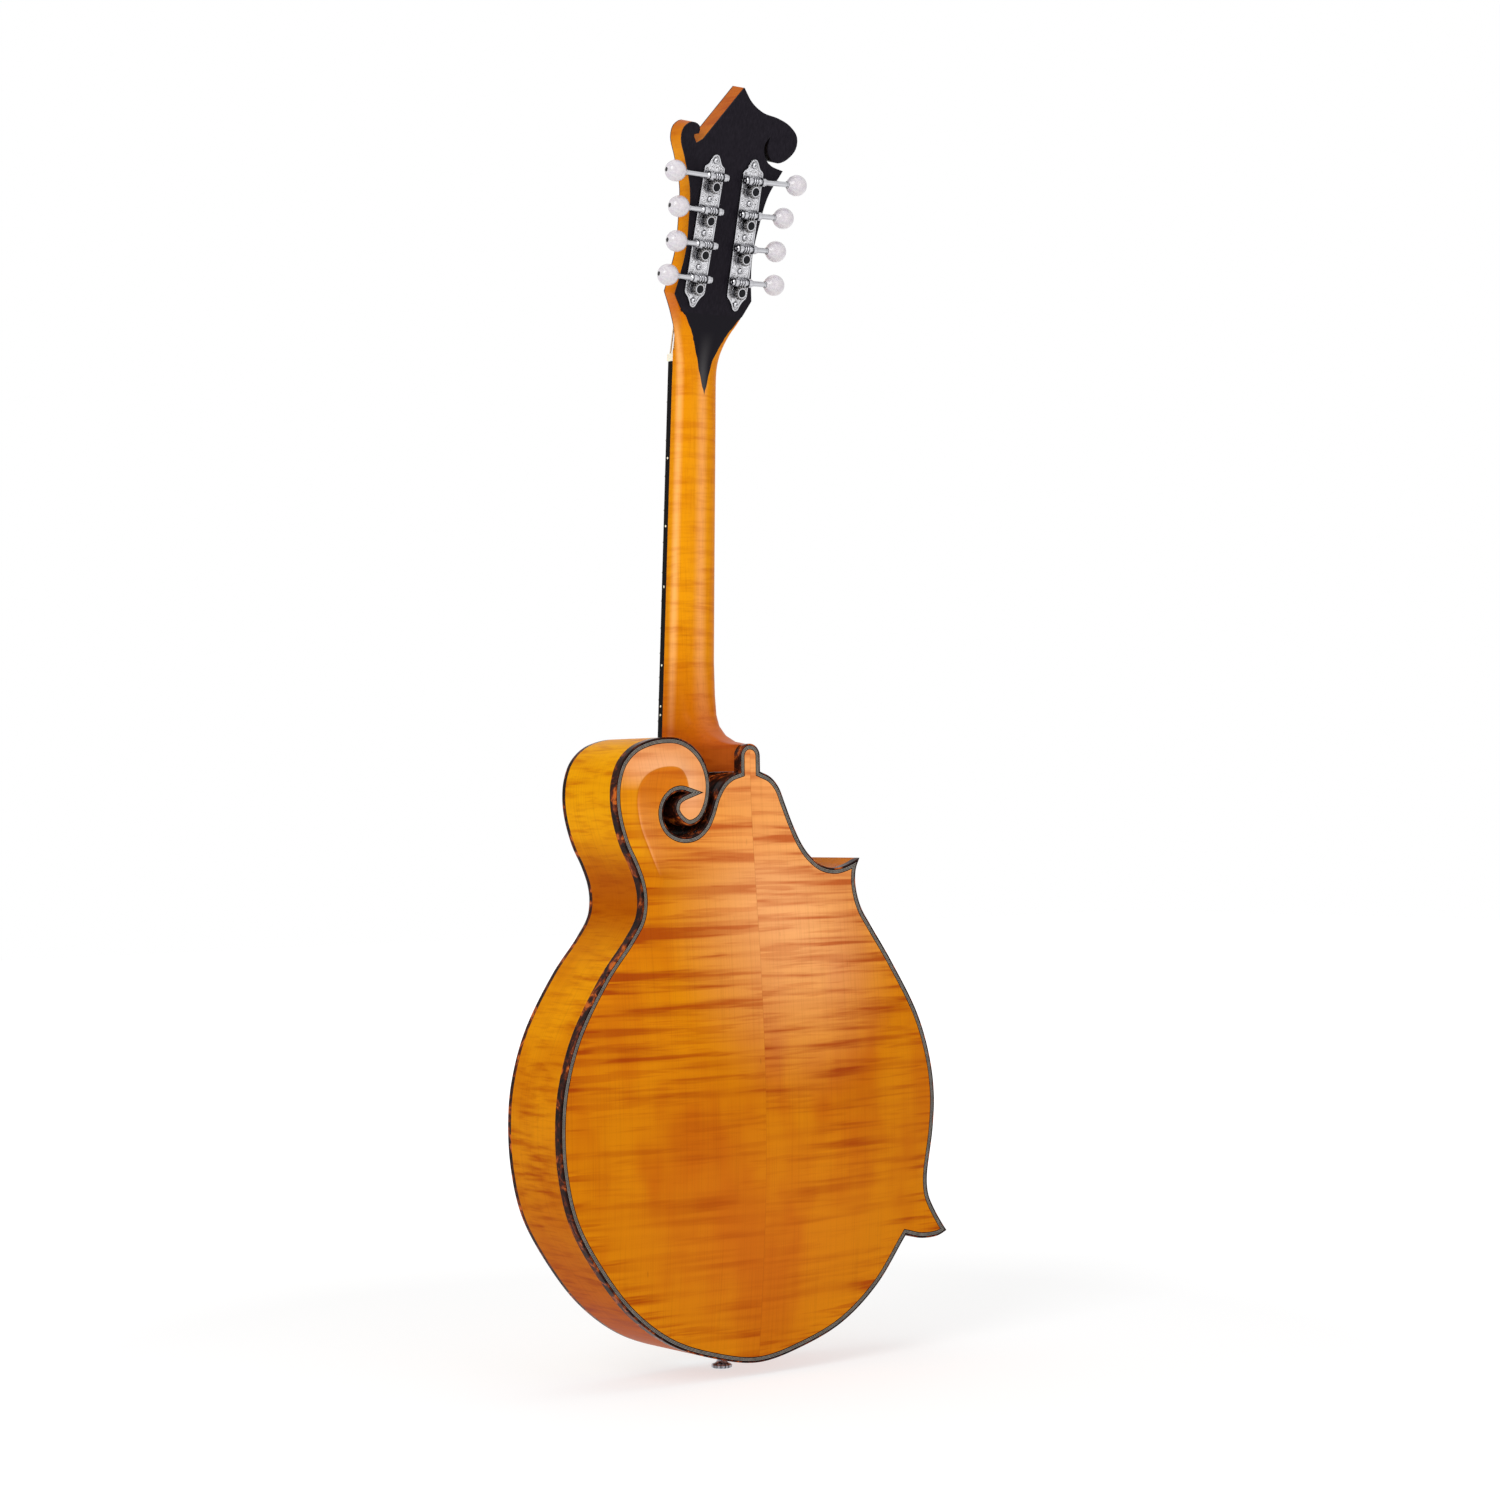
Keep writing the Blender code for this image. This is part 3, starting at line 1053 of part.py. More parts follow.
def string_path(number):
    """One string: up from its hook over the saddle and nut, then round its post."""
    course = number // 2
    radius = STRING_RADII[course]
    at_bridge, at_nut = BRIDGE_SPREAD[number], NUT_SPREAD[number]
    hook = BODY @ Vector((at_bridge * 0.8, 96.0, 85.6))
    saddle = BODY @ Vector((at_bridge, BRIDGE_Z, STRING_DEPTH_AT_BRIDGE))
    nut = NECK @ Vector((at_nut, 5.4, 1.2 + 1.6 * radius))
    side = 1 if course < 2 else -1
    outer_course = course in (0, 3)
    near = number % 2 == (0 if side > 0 else 1)
    row = (3 if near else 2) if outer_course else (1 if near else 0)
    down = POST_SPACING * row
    centre = Vector((side * (ROW_TOP + down * math.tan(ROW_SPREAD)), -down))
    turns, pieces, level = 1.5, 6, 31.6
    around = (POST_WAIST + GAP + radius) / math.cos(math.pi / pieces)
    path = [hook, saddle, nut]
    inner = math.pi if side > 0 else 0.0
    for k in range(int(turns * pieces) + 1):
        angle = inner - side * (2 * math.pi * k / pieces)
        depth = level - (2.2 * radius + 0.2) * k / pieces
        spot = Vector((centre.x + around * math.cos(angle), centre.y + around * math.sin(angle), depth))
        path.append(HEAD @ spot)
    return path


def make_strings():
    for number in range(8):
        radius = STRING_RADII[number // 2]
        finish = (BRONZE if number < 4 else STEEL, 0.3, 1.0)
        make_object("string_%d" % (number + 1), tube(string_path(number), radius), finish)


def main():
    clear_scene()
    runs = body_runs()
    arching = make_body(runs)
    make_neck()
    make_head_faces()
    make_fingerboard()
    make_nut()
    make_tuners()
    make_bridge(arching)
    make_tailpiece()
    make_strap_button()
    make_strings()


main()
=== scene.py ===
"""Looks for the scroll-bodied octave mandolin: fine carved surfaces, materials, light and the camera.

Sizes are in millimetres in the part's own frame unless a name says otherwise, and MM turns them into
metres. The body's outline, arching and tuners follow the same rules as the part, on finer meshes.
"""
import math

import bmesh
import bpy
import numpy as np
from mathutils import Matrix, Vector
from mathutils.geometry import delaunay_2d_cdt, intersect_line_line_2d, tessellate_polygon


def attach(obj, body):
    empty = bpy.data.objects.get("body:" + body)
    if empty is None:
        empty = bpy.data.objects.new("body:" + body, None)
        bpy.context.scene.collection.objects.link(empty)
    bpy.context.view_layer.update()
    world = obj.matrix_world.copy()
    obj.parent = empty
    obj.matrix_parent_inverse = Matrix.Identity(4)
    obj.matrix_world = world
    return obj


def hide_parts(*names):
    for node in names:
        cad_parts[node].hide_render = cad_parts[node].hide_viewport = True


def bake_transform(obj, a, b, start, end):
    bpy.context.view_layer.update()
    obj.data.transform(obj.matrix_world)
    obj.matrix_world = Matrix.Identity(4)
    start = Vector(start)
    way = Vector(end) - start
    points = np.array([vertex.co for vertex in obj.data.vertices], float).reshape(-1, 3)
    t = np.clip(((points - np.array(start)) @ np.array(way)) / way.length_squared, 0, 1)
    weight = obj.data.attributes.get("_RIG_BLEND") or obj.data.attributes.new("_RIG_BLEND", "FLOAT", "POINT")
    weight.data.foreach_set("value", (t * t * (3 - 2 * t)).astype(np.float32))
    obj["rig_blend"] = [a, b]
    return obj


MM = 0.001

# Body
AXIS_TO_BACK = 43.3
RIM_DEPTH = 64.0
RIB_THICKNESS = 2.5
BACK_EDGE = 6.2
TOP_EDGE = 4.0
BOUND_WIDTH = 4.0
PLATE_THICKNESS = 4.2
BACK_ARCH = 12.1
TOP_ARCH = 14.0
ARCH_POWER = 1.1
ARCH_CELL = 2.0
BODY_CORNER = (-172.0, 4.0)
BODY_SPAN = (342.0, 432.0)
OUTLINE_STEP = 2.0
PLATE_CELL = 4.0
PLATE_CORNER = (-170.0, 8.0)
PLATE_SPAN = (340.0, 432.0)
BODY_BOTTOM = 9.0
NECK_JOINT = 405.8
BUTTON_RADIUS = 8.6
BUTTON_CENTRE = 416.1

# Neck
SCALE = 495.0
NUT = Vector((0.0, -22.1, 689.0))
NECK_PITCH = math.radians(3.4)
NUT_WIDTH = 33.5
BOARD_WIDENING = 0.0222
BOARD_THICKNESS = 5.5
BOARD_END = 345.0
FRETS = 20
# Dots on the board's edge: fret, shift along the neck
SIDE_DOTS = [(3, 0), (5, 0), (7, 0), (10, 0), (12, -3), (12, 3), (15, 0)]
# Slices of the shaft and heel: height, depth, taper, squareness
NECK_STATIONS = [
    (683.0, 13.1, 0.0, 2.3), (640.0, 14.0, 0.0, 2.3), (560.0, 15.0, 0.0, 2.3), (483.0, 16.8, 0.02, 2.3),
    (460.0, 19.5, 0.05, 2.4), (446.0, 23.0, 0.10, 2.5), (438.0, 29.0, 0.18, 2.6), (431.0, 40.0, 0.32, 2.9),
    (426.5, 53.0, 0.46, 3.4)
]
GAP = 0.3
SOUND_HOLE = (0.0, 306.0)
SOUND_HOLE_RADII = (27.0, 18.0)

# Headstock and tuners
HEAD_PITCH = math.radians(16.2)
HEAD_ORIGIN = Vector((0.0, 37.5, 799.6))
HEAD_BACK = 6.9
OVERLAY = 1.2
FRONT_VENEER = 0.9
HEAD_FRONT = 21.1
POST_SPACING = 23.0
POSTS_PER_SIDE = 4
ROW_TOP = 16.4
ROW_SPREAD = math.radians(1.05)
POST_RADIUS = 3.0
POST_WAIST = 2.3
POST_END = 35.0
GEAR_TEETH = 14
GEAR_PITCH_RADIUS = 4.35
GEAR_RADIUS = 4.75
GEAR_ROOT = 3.85
GEAR_THICKNESS = 2.6
WORM_RISE = 7.0
WORM_DEPTH = 1.4
WORM_RADIUS = 2.85
WORM_ROOT = 2.0
WORM_LEAD = 2 * math.pi * GEAR_PITCH_RADIUS / GEAR_TEETH
WORM_TURNS = 3
SHAFT_RADIUS = 1.9
CAP_RADIUS = 2.5
LUG_INNER = 4.6
LUG_OUTER = 6.9
PLATE_FACE = 5.4
PLATE_BACK = 6.6
PLATE_HALF_WIDTH = 8.2
KNOB_REACH = (34.3, 27.1, 24.5, 27.0)
KNOB_HALF_LENGTH = 7.6
KNOB_RADIUS = 7.3
KNOB_FLATTENING = 0.93
SCREW_PLACES = (17.2, -8.6, -31.6, -54.6, -77.6)

# Strings and bridge
BRIDGE_Z = 192.6
STRING_DEPTH_AT_BRIDGE = 99.8
STRING_RADII = (0.58, 0.43, 0.30, 0.20)
HOOK_SPREAD = 0.8
HOOK_HEIGHTS = (92.0, 94.5)
HOOK_DEPTHS = (83.0, 86.4)
STRING_END_HEIGHT = 96.0
STRING_END_DEPTH = 85.6
TURNS_ON_POST = 1.5
TURNS_DEPTH = 30.0
# The tail sheet's bends: depth, rise, and how far that bend follows the tail's curve
TAIL_BENDS = [
    (57.5, 0.0, 1.0), (65.2, 0.0, 1.0), (70.0, 4.5, 0.7), (78.0, 36.3, 0.0), (82.0, 81.3, 0.0),
    (84.5, 95.3, 0.0)
]
# The strap button, turned: distance from its face, radius
BUTTON_PROFILE = [
    (0.0, 0.0), (0.0, 6.2), (0.25, 6.8), (0.8, 7.1), (2.0, 7.1), (2.5, 6.7), (2.9, 5.6), (3.5, 4.3),
    (4.6, 3.5), (6.2, 3.3), (7.6, 3.9), (BODY_BOTTOM - 0.4, 5.0), (BODY_BOTTOM - 0.1, 5.0),
    (BODY_BOTTOM - 0.1, 0.0)
]

# Body outline from the front, x across and z up, as runs that meet at corners
LOWER_BOUT = [
    (0, BODY_BOTTOM), (37, 15.6), (72, 28.6), (102.5, 51), (127, 80.5), (146.5, 114), (154.6, 147),
    (156, 178), (153, 203), (142.5, 235), (119.5, 272.8), (100, 296.3)
]
WAIST_AND_SCROLL = [
    (91.2, 309.7), (89.3, 320.6), (90.7, 331.6), (95.5, 344), (102.7, 358), (108.3, 376), (109.8, 389),
    (108.6, 401), (103.8, 413), (94, 422.4), (82, 427.2), (70, 429), (57.7, 428.2), (46.6, 423),
    (37.7, 413.4), (33.5, 402), (33.3, 391.8), (36.1, 381.5), (42, 373.3), (51, 370.2), (59, 374.8),
    (62.4, 381), (60.8, 387), (56.5, 390.3), (52, 392)
]
CHANNEL_WALL = [
    (52, 392), (55.8, 393), (60, 392.8), (64.1, 391.2), (69.2, 386.6), (71.7, 380.2), (70.7, 373),
    (66.2, 366.9), (58.9, 363.4), (50.8, 362.9), (43.7, 365.2), (37.6, 370.6), (33.3, 378.4), (29.1, 389.3),
    (22.8, 398.6), (15.7, 403.6), (BUTTON_RADIUS, NECK_JOINT)
]
SHOULDER = [
    (-BUTTON_RADIUS, NECK_JOINT), (-17.4, 402), (-24, 395.2), (-29.3, 383.6), (-35.4, 370), (-42.8, 356.5),
    (-49.5, 348.5), (-59.7, 341.4), (-71, 339.1), (-81.4, 341), (-92.9, 345.7)
]
POINT_SIDE = [
    (-92.9, 345.7), (-89.7, 338.6), (-88.8, 330.4), (-90.2, 320.7), (-94, 310.5), (-101.7, 299),
    (-119.5, 273.5), (-142.5, 235), (-153, 203), (-156, 178), (-154.2, 154), (-151.2, 138), (-148.8, 125.3),
    (-148.4, 116), (-149.8, 108), (-154.8, 98), (-161.9, 87.2), (-165.4, 82.6)
]
LOWER_POINT = [(-165.4, 82.6), (-157.2, 79.5), (-142, 79.2), (-128.5, 82.4)]
# The scroll's carved crest, then a closed loop round the plate's middle side of it
CREST = [
    (49.7, 390), (53.3, 402), (62, 408.6), (79, 408), (90.3, 401.5), (95.2, 390.5), (93.2, 371.4),
    (85.6, 353), (78, 335.7)
]
CHANNEL_BOX = (9.0, 76.5, 355.0, 414.0)
CREST_INNER_SIDE = CREST + [
    (60, 290), (-60, 290), (-60, 430), (8, 430), (8, 404), (29, 396), (35, 380), (42, 368), (52, 366),
    (63, 370), (66, 380), (63, 388), (55, 391.5)
]
CREST_HEIGHT = 4.5
CREST_WIDTH = 21.0
CREST_SHARPNESS = 1.9
CREST_CLEARANCE = 12.0
CREST_FADE = (48.0, 62.0)
# Edging plies from the rim inwards: width, then 0 for shell, 1 for black and 2 for white
PLIES = [(0.5, 0), (0.56, 1), (0.28, 2), (0.46, 1), (0.28, 2), (0.46, 1), (0.28, 2), (0.68, 1)]

# Headstock outline in its own plane: across, and along from the top pair of posts
HEAD_SCROLL_EDGE = [(17, -119), (18.4, -104), (25, -88), (32.4, -74.5)]
HEAD_SCROLL_SIDE = [
    (32.4, -74.5), (30, -60), (28.3, -44.6), (29.7, -22.7), (32.4, -3.2), (40, 16), (45.5, 28.6),
    (44.6, 36.5), (38.7, 40.8), (32.6, 38.8), (32.2, 33.8), (36, 32.6), (33, 27)
]
HEAD_DIAGONAL = [(33, 27), (27.8, 30.6), (0.6, 67.6)]
HEAD_CURL = [
    (0.6, 67.6), (-7.4, 58.8), (-18, 53), (-30.5, 50.7), (-41, 47), (-49, 40), (-49.5, 31.6), (-43.3, 23.8),
    (-36, 20.6), (-30.8, 22), (-27, 26.8), (-25.9, 32), (-26.8, 37.8)
]
HEAD_SLOT = [(-26.8, 37.8), (-23.4, 33), (-23.2, 27.6), (-26, 22), (-31, 18.4), (-41.4, 15.9)]
HEAD_POINT_SIDE = [(-41.4, 15.9), (-32.4, -2), (-28.6, -22), (-26.8, -44.4), (-28.6, -60), (-31.6, -74.5)]
HEAD_POINT_EDGE = [(-31.6, -74.5), (-25, -88), (-18.4, -104), (-17, -119)]
HEAD_FOOT = -86.0
HEAD_SKIN_FOOT = -76.5
HEADPLATE_FOOT = -115.5
THROAT_END = -118.6
EASING_HEIGHTS = (664.0, 712.0)
# The throat between headstock and neck: squareness and back face by place along
THROAT_SQUARENESS = [
    (-119.0, 2.4), (-112.0, 3.0), (-104.0, 4.5), (-96.0, 9.0), (-88.0, 22.0), (-86.0, 30.0)
]
THROAT_BACK = [(-119.0, 8.1), (-104.0, 7.5), (-92.0, 6.95), (-86.0, 6.9)]
# The painted tongue on the neck's back: height, half width
TONGUE_HALF_WIDTHS = [
    (665.0, 0.0), (670.5, 1.7), (680.6, 4.3), (690.9, 7.3), (700.8, 11.8), (705.0, 14.0), (710.2, 17.6),
    (717.0, 22.6), (720.5, 26.6)
]
TONGUE_LEAN = 0.9

# Camera, in metres and degrees, fitted to the photograph
CAMERA_AZIMUTH = 143.629
CAMERA_ELEVATION = -0.844
CAMERA_ROLL = -0.878
CAMERA_DISTANCE = 2.183775
CAMERA_TARGET = Vector((-0.000068, AXIS_TO_BACK * MM, 0.420345))
FOCAL_PIXELS = 3242.54
PHOTO_PIXELS = 1500.0
SENSOR = 36.0


def frame_matrix(origin, pitch):
    up = Vector((0.0, math.sin(pitch), math.cos(pitch)))
    across = Vector((1.0, 0.0, 0.0))
    matrix = Matrix((across, up, across.cross(up))).transposed().to_4x4()
    matrix.translation = origin
    return matrix


BODY = frame_matrix(Vector((0.0, AXIS_TO_BACK, 0.0)), 0.0)
NECK = frame_matrix(NUT, NECK_PITCH)
HEAD = frame_matrix(HEAD_ORIGIN, HEAD_PITCH)


# Materials

def srgb(red, green, blue):
    """A colour as a screen shows it, 0 to 255, as the linear colour that a shader takes."""
    channels = [c / 255.0 for c in (red, green, blue)]
    return tuple(c / 12.92 if c <= 0.04045 else ((c + 0.055) / 1.055) ** 2.4 for c in channels) + (1.0,)


def scaled(colour, factors):
    return tuple(c * k for c, k in zip(colour, factors)) + (1.0,)


def operation(name):
    return lambda signal, *others: signal.finish.maths(name, signal, *others)


class Signal:
    """One output of a shader node; arithmetic on it adds math nodes to its material."""

    __add__, __sub__, __mul__ = operation("ADD"), operation("SUBTRACT"), operation("MULTIPLY")
    __truediv__, __pow__, __abs__ = operation("DIVIDE"), operation("POWER"), operation("ABSOLUTE")
    __gt__, __lt__ = operation("GREATER_THAN"), operation("LESS_THAN")

    def __init__(self, finish, socket):
        self.finish = finish
        self.socket = socket

    def span(self, low, high, to_low=0.0, to_high=1.0, **settings):
        """The signal carried from one range to another, and held inside it."""
        inputs = {"Value": self, "From Min": low, "From Max": high, "To Min": to_low, "To Max": to_high}
        return self.finish.node("ShaderNodeMapRange", inputs, **settings)


class Finish:
    """A material under construction: one Principled shader and the textures that feed it."""

    def __init__(self, name, colour=(0.8, 0.8, 0.8, 1.0), roughness=0.5, metallic=0.0, **sockets):
        self.material = bpy.data.materials.new(name)
        self.material.use_nodes = True
        self.tree = self.material.node_tree
        self.shader = self.tree.nodes["Principled BSDF"]
        self.set("Base Color", colour)
        self.set("Roughness", roughness)
        self.set("Metallic", metallic)
        for socket, value in sockets.items():
            self.set(socket.replace("_", " "), value)

    def set(self, name, value):
        self.feed(self.shader.inputs[name], value)

    def feed(self, socket, value):
        if isinstance(value, Signal):
            self.tree.links.new(value.socket, socket)
        else:
            socket.default_value = value

    def add(self, kind, inputs=(), **settings):
        made = self.tree.nodes.new(kind)
        for key, value in settings.items():
            setattr(made, key, value)
        for key, value in dict(inputs).items():
            self.feed(made.inputs[key], value)
        return made

    def node(self, kind, inputs=(), output=0, **settings):
        return Signal(self, self.add(kind, inputs, **settings).outputs[output])

    def maths(self, operation, *values):
        return self.node("ShaderNodeMath", enumerate(values), operation=operation)

    def split(self, vector):
        return [Signal(self, part) for part in self.add("ShaderNodeSeparateXYZ", {0: vector}).outputs]

    def place(self, scale=(1.0, 1.0, 1.0), source="Object"):
        return self.mapped(self.node("ShaderNodeTexCoord", output=source), scale)

    def mapped(self, spot, scale=(1.0, 1.0, 1.0), shift=(0.0, 0.0, 0.0)):
        return self.node("ShaderNodeMapping", {"Vector": spot, "Scale": scale, "Location": shift})

    def noise(self, vector, scale, detail=3.0, roughness=0.55, distortion=0.0, shift=(0.0, 0.0, 0.0)):
        """Noise scaled by one number, or by one for each axis, which may then be shifted too."""
        if isinstance(scale, tuple):
            vector, scale = self.mapped(vector, scale, shift), 1.0
        return self.node("ShaderNodeTexNoise", {"Vector": vector, "Scale": scale, "Detail": detail,
                                                "Roughness": roughness, "Distortion": distortion})

    def cells(self, vector, scale, randomness=1.0, output="Distance"):
        inputs = {"Vector": vector, "Scale": scale, "Randomness": randomness}
        return self.node("ShaderNodeTexVoronoi", inputs, output)

    def blend(self, share, first, second, mode="MIX"):
        inputs = {0: share, 6: first, 7: second}
        return self.node("ShaderNodeMix", inputs, 2, data_type="RGBA", blend_type=mode)

    def ramp(self, share, stops, ease="LINEAR"):
        made = self.add("ShaderNodeValToRGB", {"Fac": share})
        made.color_ramp.interpolation = ease
        while len(made.color_ramp.elements) < len(stops):
            made.color_ramp.elements.new(0.5)
        for element, (place, colour) in zip(made.color_ramp.elements, stops):
            element.position = place
            element.color = colour
        return Signal(self, made.outputs[0])

    def painted_corner_shade(self, colour, strength, reach=0.0022):
        """The colour with painted shade, darkened in tight corners."""
        open_sky = self.node("ShaderNodeAmbientOcclusion", {"Distance": reach}, "AO", samples=4)
        return self.blend(open_sky.span(0.35, 0.95, strength, 0.0), colour, srgb(40, 38, 40))

    def bump(self, height, distance, strength):
        inputs = {"Height": height, "Distance": distance, "Strength": strength}
        self.set("Normal", self.node("ShaderNodeBump", inputs))


# Multipliers for the flame's dark streaks and for the pale wood between them
FLAME_STAIN = (0.66, 0.38, 0.28, 1.0)
PALE_MAPLE = (1.18, 1.28, 1.3, 1.0)


def maple_colour(finish, vector, streaks, grain, light, middle, strength, mask, tones_and_painted_light):
    """Flamed maple: tapered streaks across the fibres, pale wood between, broad tones and fine fibres, over
    tones and painted light and shade blended in from a list.
    """
    bold = finish.noise(vector, streaks, 2.6, 0.5, 0.15)
    fine = tuple(s * k for s, k in zip(streaks, (2.6, 2.6, 1.9)))
    faint = finish.noise(vector, fine, 2.0, 0.5, 0.2, (3.1, 0.0, 1.7))
    where = finish.noise(vector, (10.0, 10.0, 9.0), 1.0).span(0.40, 0.58, 0.30, 1.0)
    patches = finish.noise(vector, (15.0, 15.0, 8.0), shift=(5.0, 2.0, 0.0))
    fibres = finish.noise(vector, grain, 2.0, 0.7)
    flame = (bold.span(0.505, 0.64) * where + faint.span(0.53, 0.64) * 0.4) * mask
    colour = finish.ramp(patches, [(0.36, middle), (0.62, light)], "EASE")
    for share, tone in tones_and_painted_light:
        colour = finish.blend(share, colour, tone)
    between = bold.span(0.49, 0.40) * where * mask
    colour = finish.blend(between * (0.5 * strength), colour, PALE_MAPLE, "MULTIPLY")
    colour = finish.blend(flame * strength, colour, FLAME_STAIN, "MULTIPLY")
    lines = finish.ramp(fibres, [(0.30, srgb(222, 212, 200)), (0.50, srgb(255, 255, 255))])
    return finish.blend(0.35, colour, lines, "MULTIPLY"), flame, fibres


def lacquered(finish, colour, flame, fibres, gloss=0.03):
    finish.set("Base Color", colour)
    finish.set("Specular IOR Level", gloss)
    finish.set("Roughness", flame.span(0.0, 1.0, 0.34, 0.28))
    finish.bump(fibres, 0.00003, 0.4)
    return finish.material


def back_maple():
    """Two matched halves, slipped where they meet, toned by how far in from the rim, with painted sheen on
    the upper back and painted light and shade beside the scroll's crest.
    """
    finish = Finish("back_maple")
    spot = finish.node("ShaderNodeTexCoord", output="Object")
    x, y, z = finish.split(spot)
    side = x > 0.0
    mirrored = finish.node("ShaderNodeCombineXYZ", {0: abs(x), 1: side * 0.02, 2: z + side * 0.0065})
    dome, crest = [finish.node("ShaderNodeAttribute", output="Fac", attribute_name=name)
                   for name in ("dome", "crest")]
    bold_band = z.span(0.11, 0.21) * z.span(0.375, 0.34)
    rim_ticks = dome.span(0.05, 0.30, 1.5, 0.0)
    mask = finish.maths("MAXIMUM", bold_band.span(0.0, 1.0, 0.40, 1.0), rim_ticks)
    mask = mask * z.span(0.39, 0.35, 0.4, 1.0)

    def oval(across, up, wide, tall, strength):
        reach = finish.maths("SQRT", ((x - across) / wide) ** 2.0 + ((z - up) / tall) ** 2.0)
        return reach.span(0.0, 1.0, strength, 0.0, interpolation_type="SMOOTHSTEP")

    crest_foot = z.span(0.337, 0.352)
    below_loop = z.span(0.394, 0.376) * crest_foot
    within, beyond = crest.span(0.0, 0.7 * MM), crest.span(0.0, -0.9 * MM)
    outer = beyond * crest.span(-30 * MM, -16 * MM) * crest_foot
    loop = finish.maths("MAXIMUM", z.span(0.394, 0.410), x.span(0.074, 0.064))
    loop = loop * beyond * x.span(0.02, 0.03) * z.span(0.362, 0.372)
    hollow_shade = within * z.span(0.376, 0.394) * x.span(0.030, 0.045)
    # The first two are a painted sheen: a broad pale pink reflection over the upper back on the point's
    # side, and a paler band across the top by the neck's button.
    tones_and_painted_light = [(oval(-0.034, 0.345, 0.120, 0.175, 0.80), srgb(252, 180, 122)),
             (z.span(0.375, 0.410, 0.0, 0.5) * x.span(0.030, 0.018), srgb(250, 176, 126)),
             (oval(0.000, 0.085, 0.170, 0.130, 0.30), srgb(214, 114, 34)),
             (dome.span(0.06, 0.50, 0.30, 0.0), srgb(206, 122, 2)),
             # Painted light and shade beside the crest: a warm pink on its inner slope, yellow on its outer
             # slope, pale pink light and a highlight on the loop over the slot, and shade in the hollow just
             # inside the crest's top.
             (within * crest_foot * crest.span(1 * MM, 22 * MM, 0.75, 0.30), srgb(234, 146, 66)),
             (outer * 0.75, srgb(222, 144, 14)),
             (loop * 0.85, srgb(228, 152, 98)),
             (loop * crest.span(-12 * MM, -1 * MM, 0.0, 0.55), srgb(248, 184, 134)),
             (hollow_shade * 0.85, srgb(208, 112, 6))]
    colour, flame, fibres = maple_colour(finish, mirrored, (7.0, 30.0, 165.0), (1100.0, 200.0, 9.0),
                                         srgb(205, 121, 3), srgb(188, 95, 2), 1.0, mask, tones_and_painted_light)
    # A painted highlight along the crest's top and painted shade just outside it.
    ridge = crest.span(0.0, 0.8 * MM) * crest.span(3.2 * MM, 0.8 * MM) * below_loop
    valley_shade = crest.span(0.2 * MM, -0.6 * MM) * crest.span(-5 * MM, -0.8 * MM) * below_loop
    pins = finish.noise(spot, (420.0, 1.0, 60.0), 1.0)
    for share, tone in ((ridge * 0.22, srgb(246, 184, 132)), (valley_shade * 0.30, srgb(196, 116, 24)),
                        (pins.span(0.77, 0.83, 0.0, 0.45), srgb(110, 46, 10)),
                        (abs(x).span(0.0, 0.0004, 0.3, 0.0), srgb(150, 70, 12))):
        colour = finish.blend(share, colour, tone)
    return lacquered(finish, colour, flame, fibres)


def side_maple():
    """The ribs' maple, laid along the rim: UV runs along the outline, then across the rim, in metres."""
    finish = Finish("side_maple")
    z = finish.split(finish.place())[2]
    # Painted shade darkens the ribs towards the bottom and in the waist's hollow; painted light brightens
    # them up by the scroll.
    waist_shade = z.span(0.365, 0.335) * z.span(0.285, 0.315)
    tones_and_painted_light = [(z.span(0.24, 0.04, 0.0, 0.9), srgb(172, 74, 14)),
             (z.span(0.345, 0.375, 0.0, 0.5), srgb(236, 168, 8)),
             (waist_shade * 0.85, srgb(168, 78, 1))]
    wood = maple_colour(finish, finish.place(source="UV"), (190.0, 22.0, 1.0), (9.0, 700.0, 1.0),
                        srgb(222, 142, 6), srgb(208, 124, 4), 0.7, 1.0, tones_and_painted_light)
    return lacquered(finish, *wood, gloss=0.008)


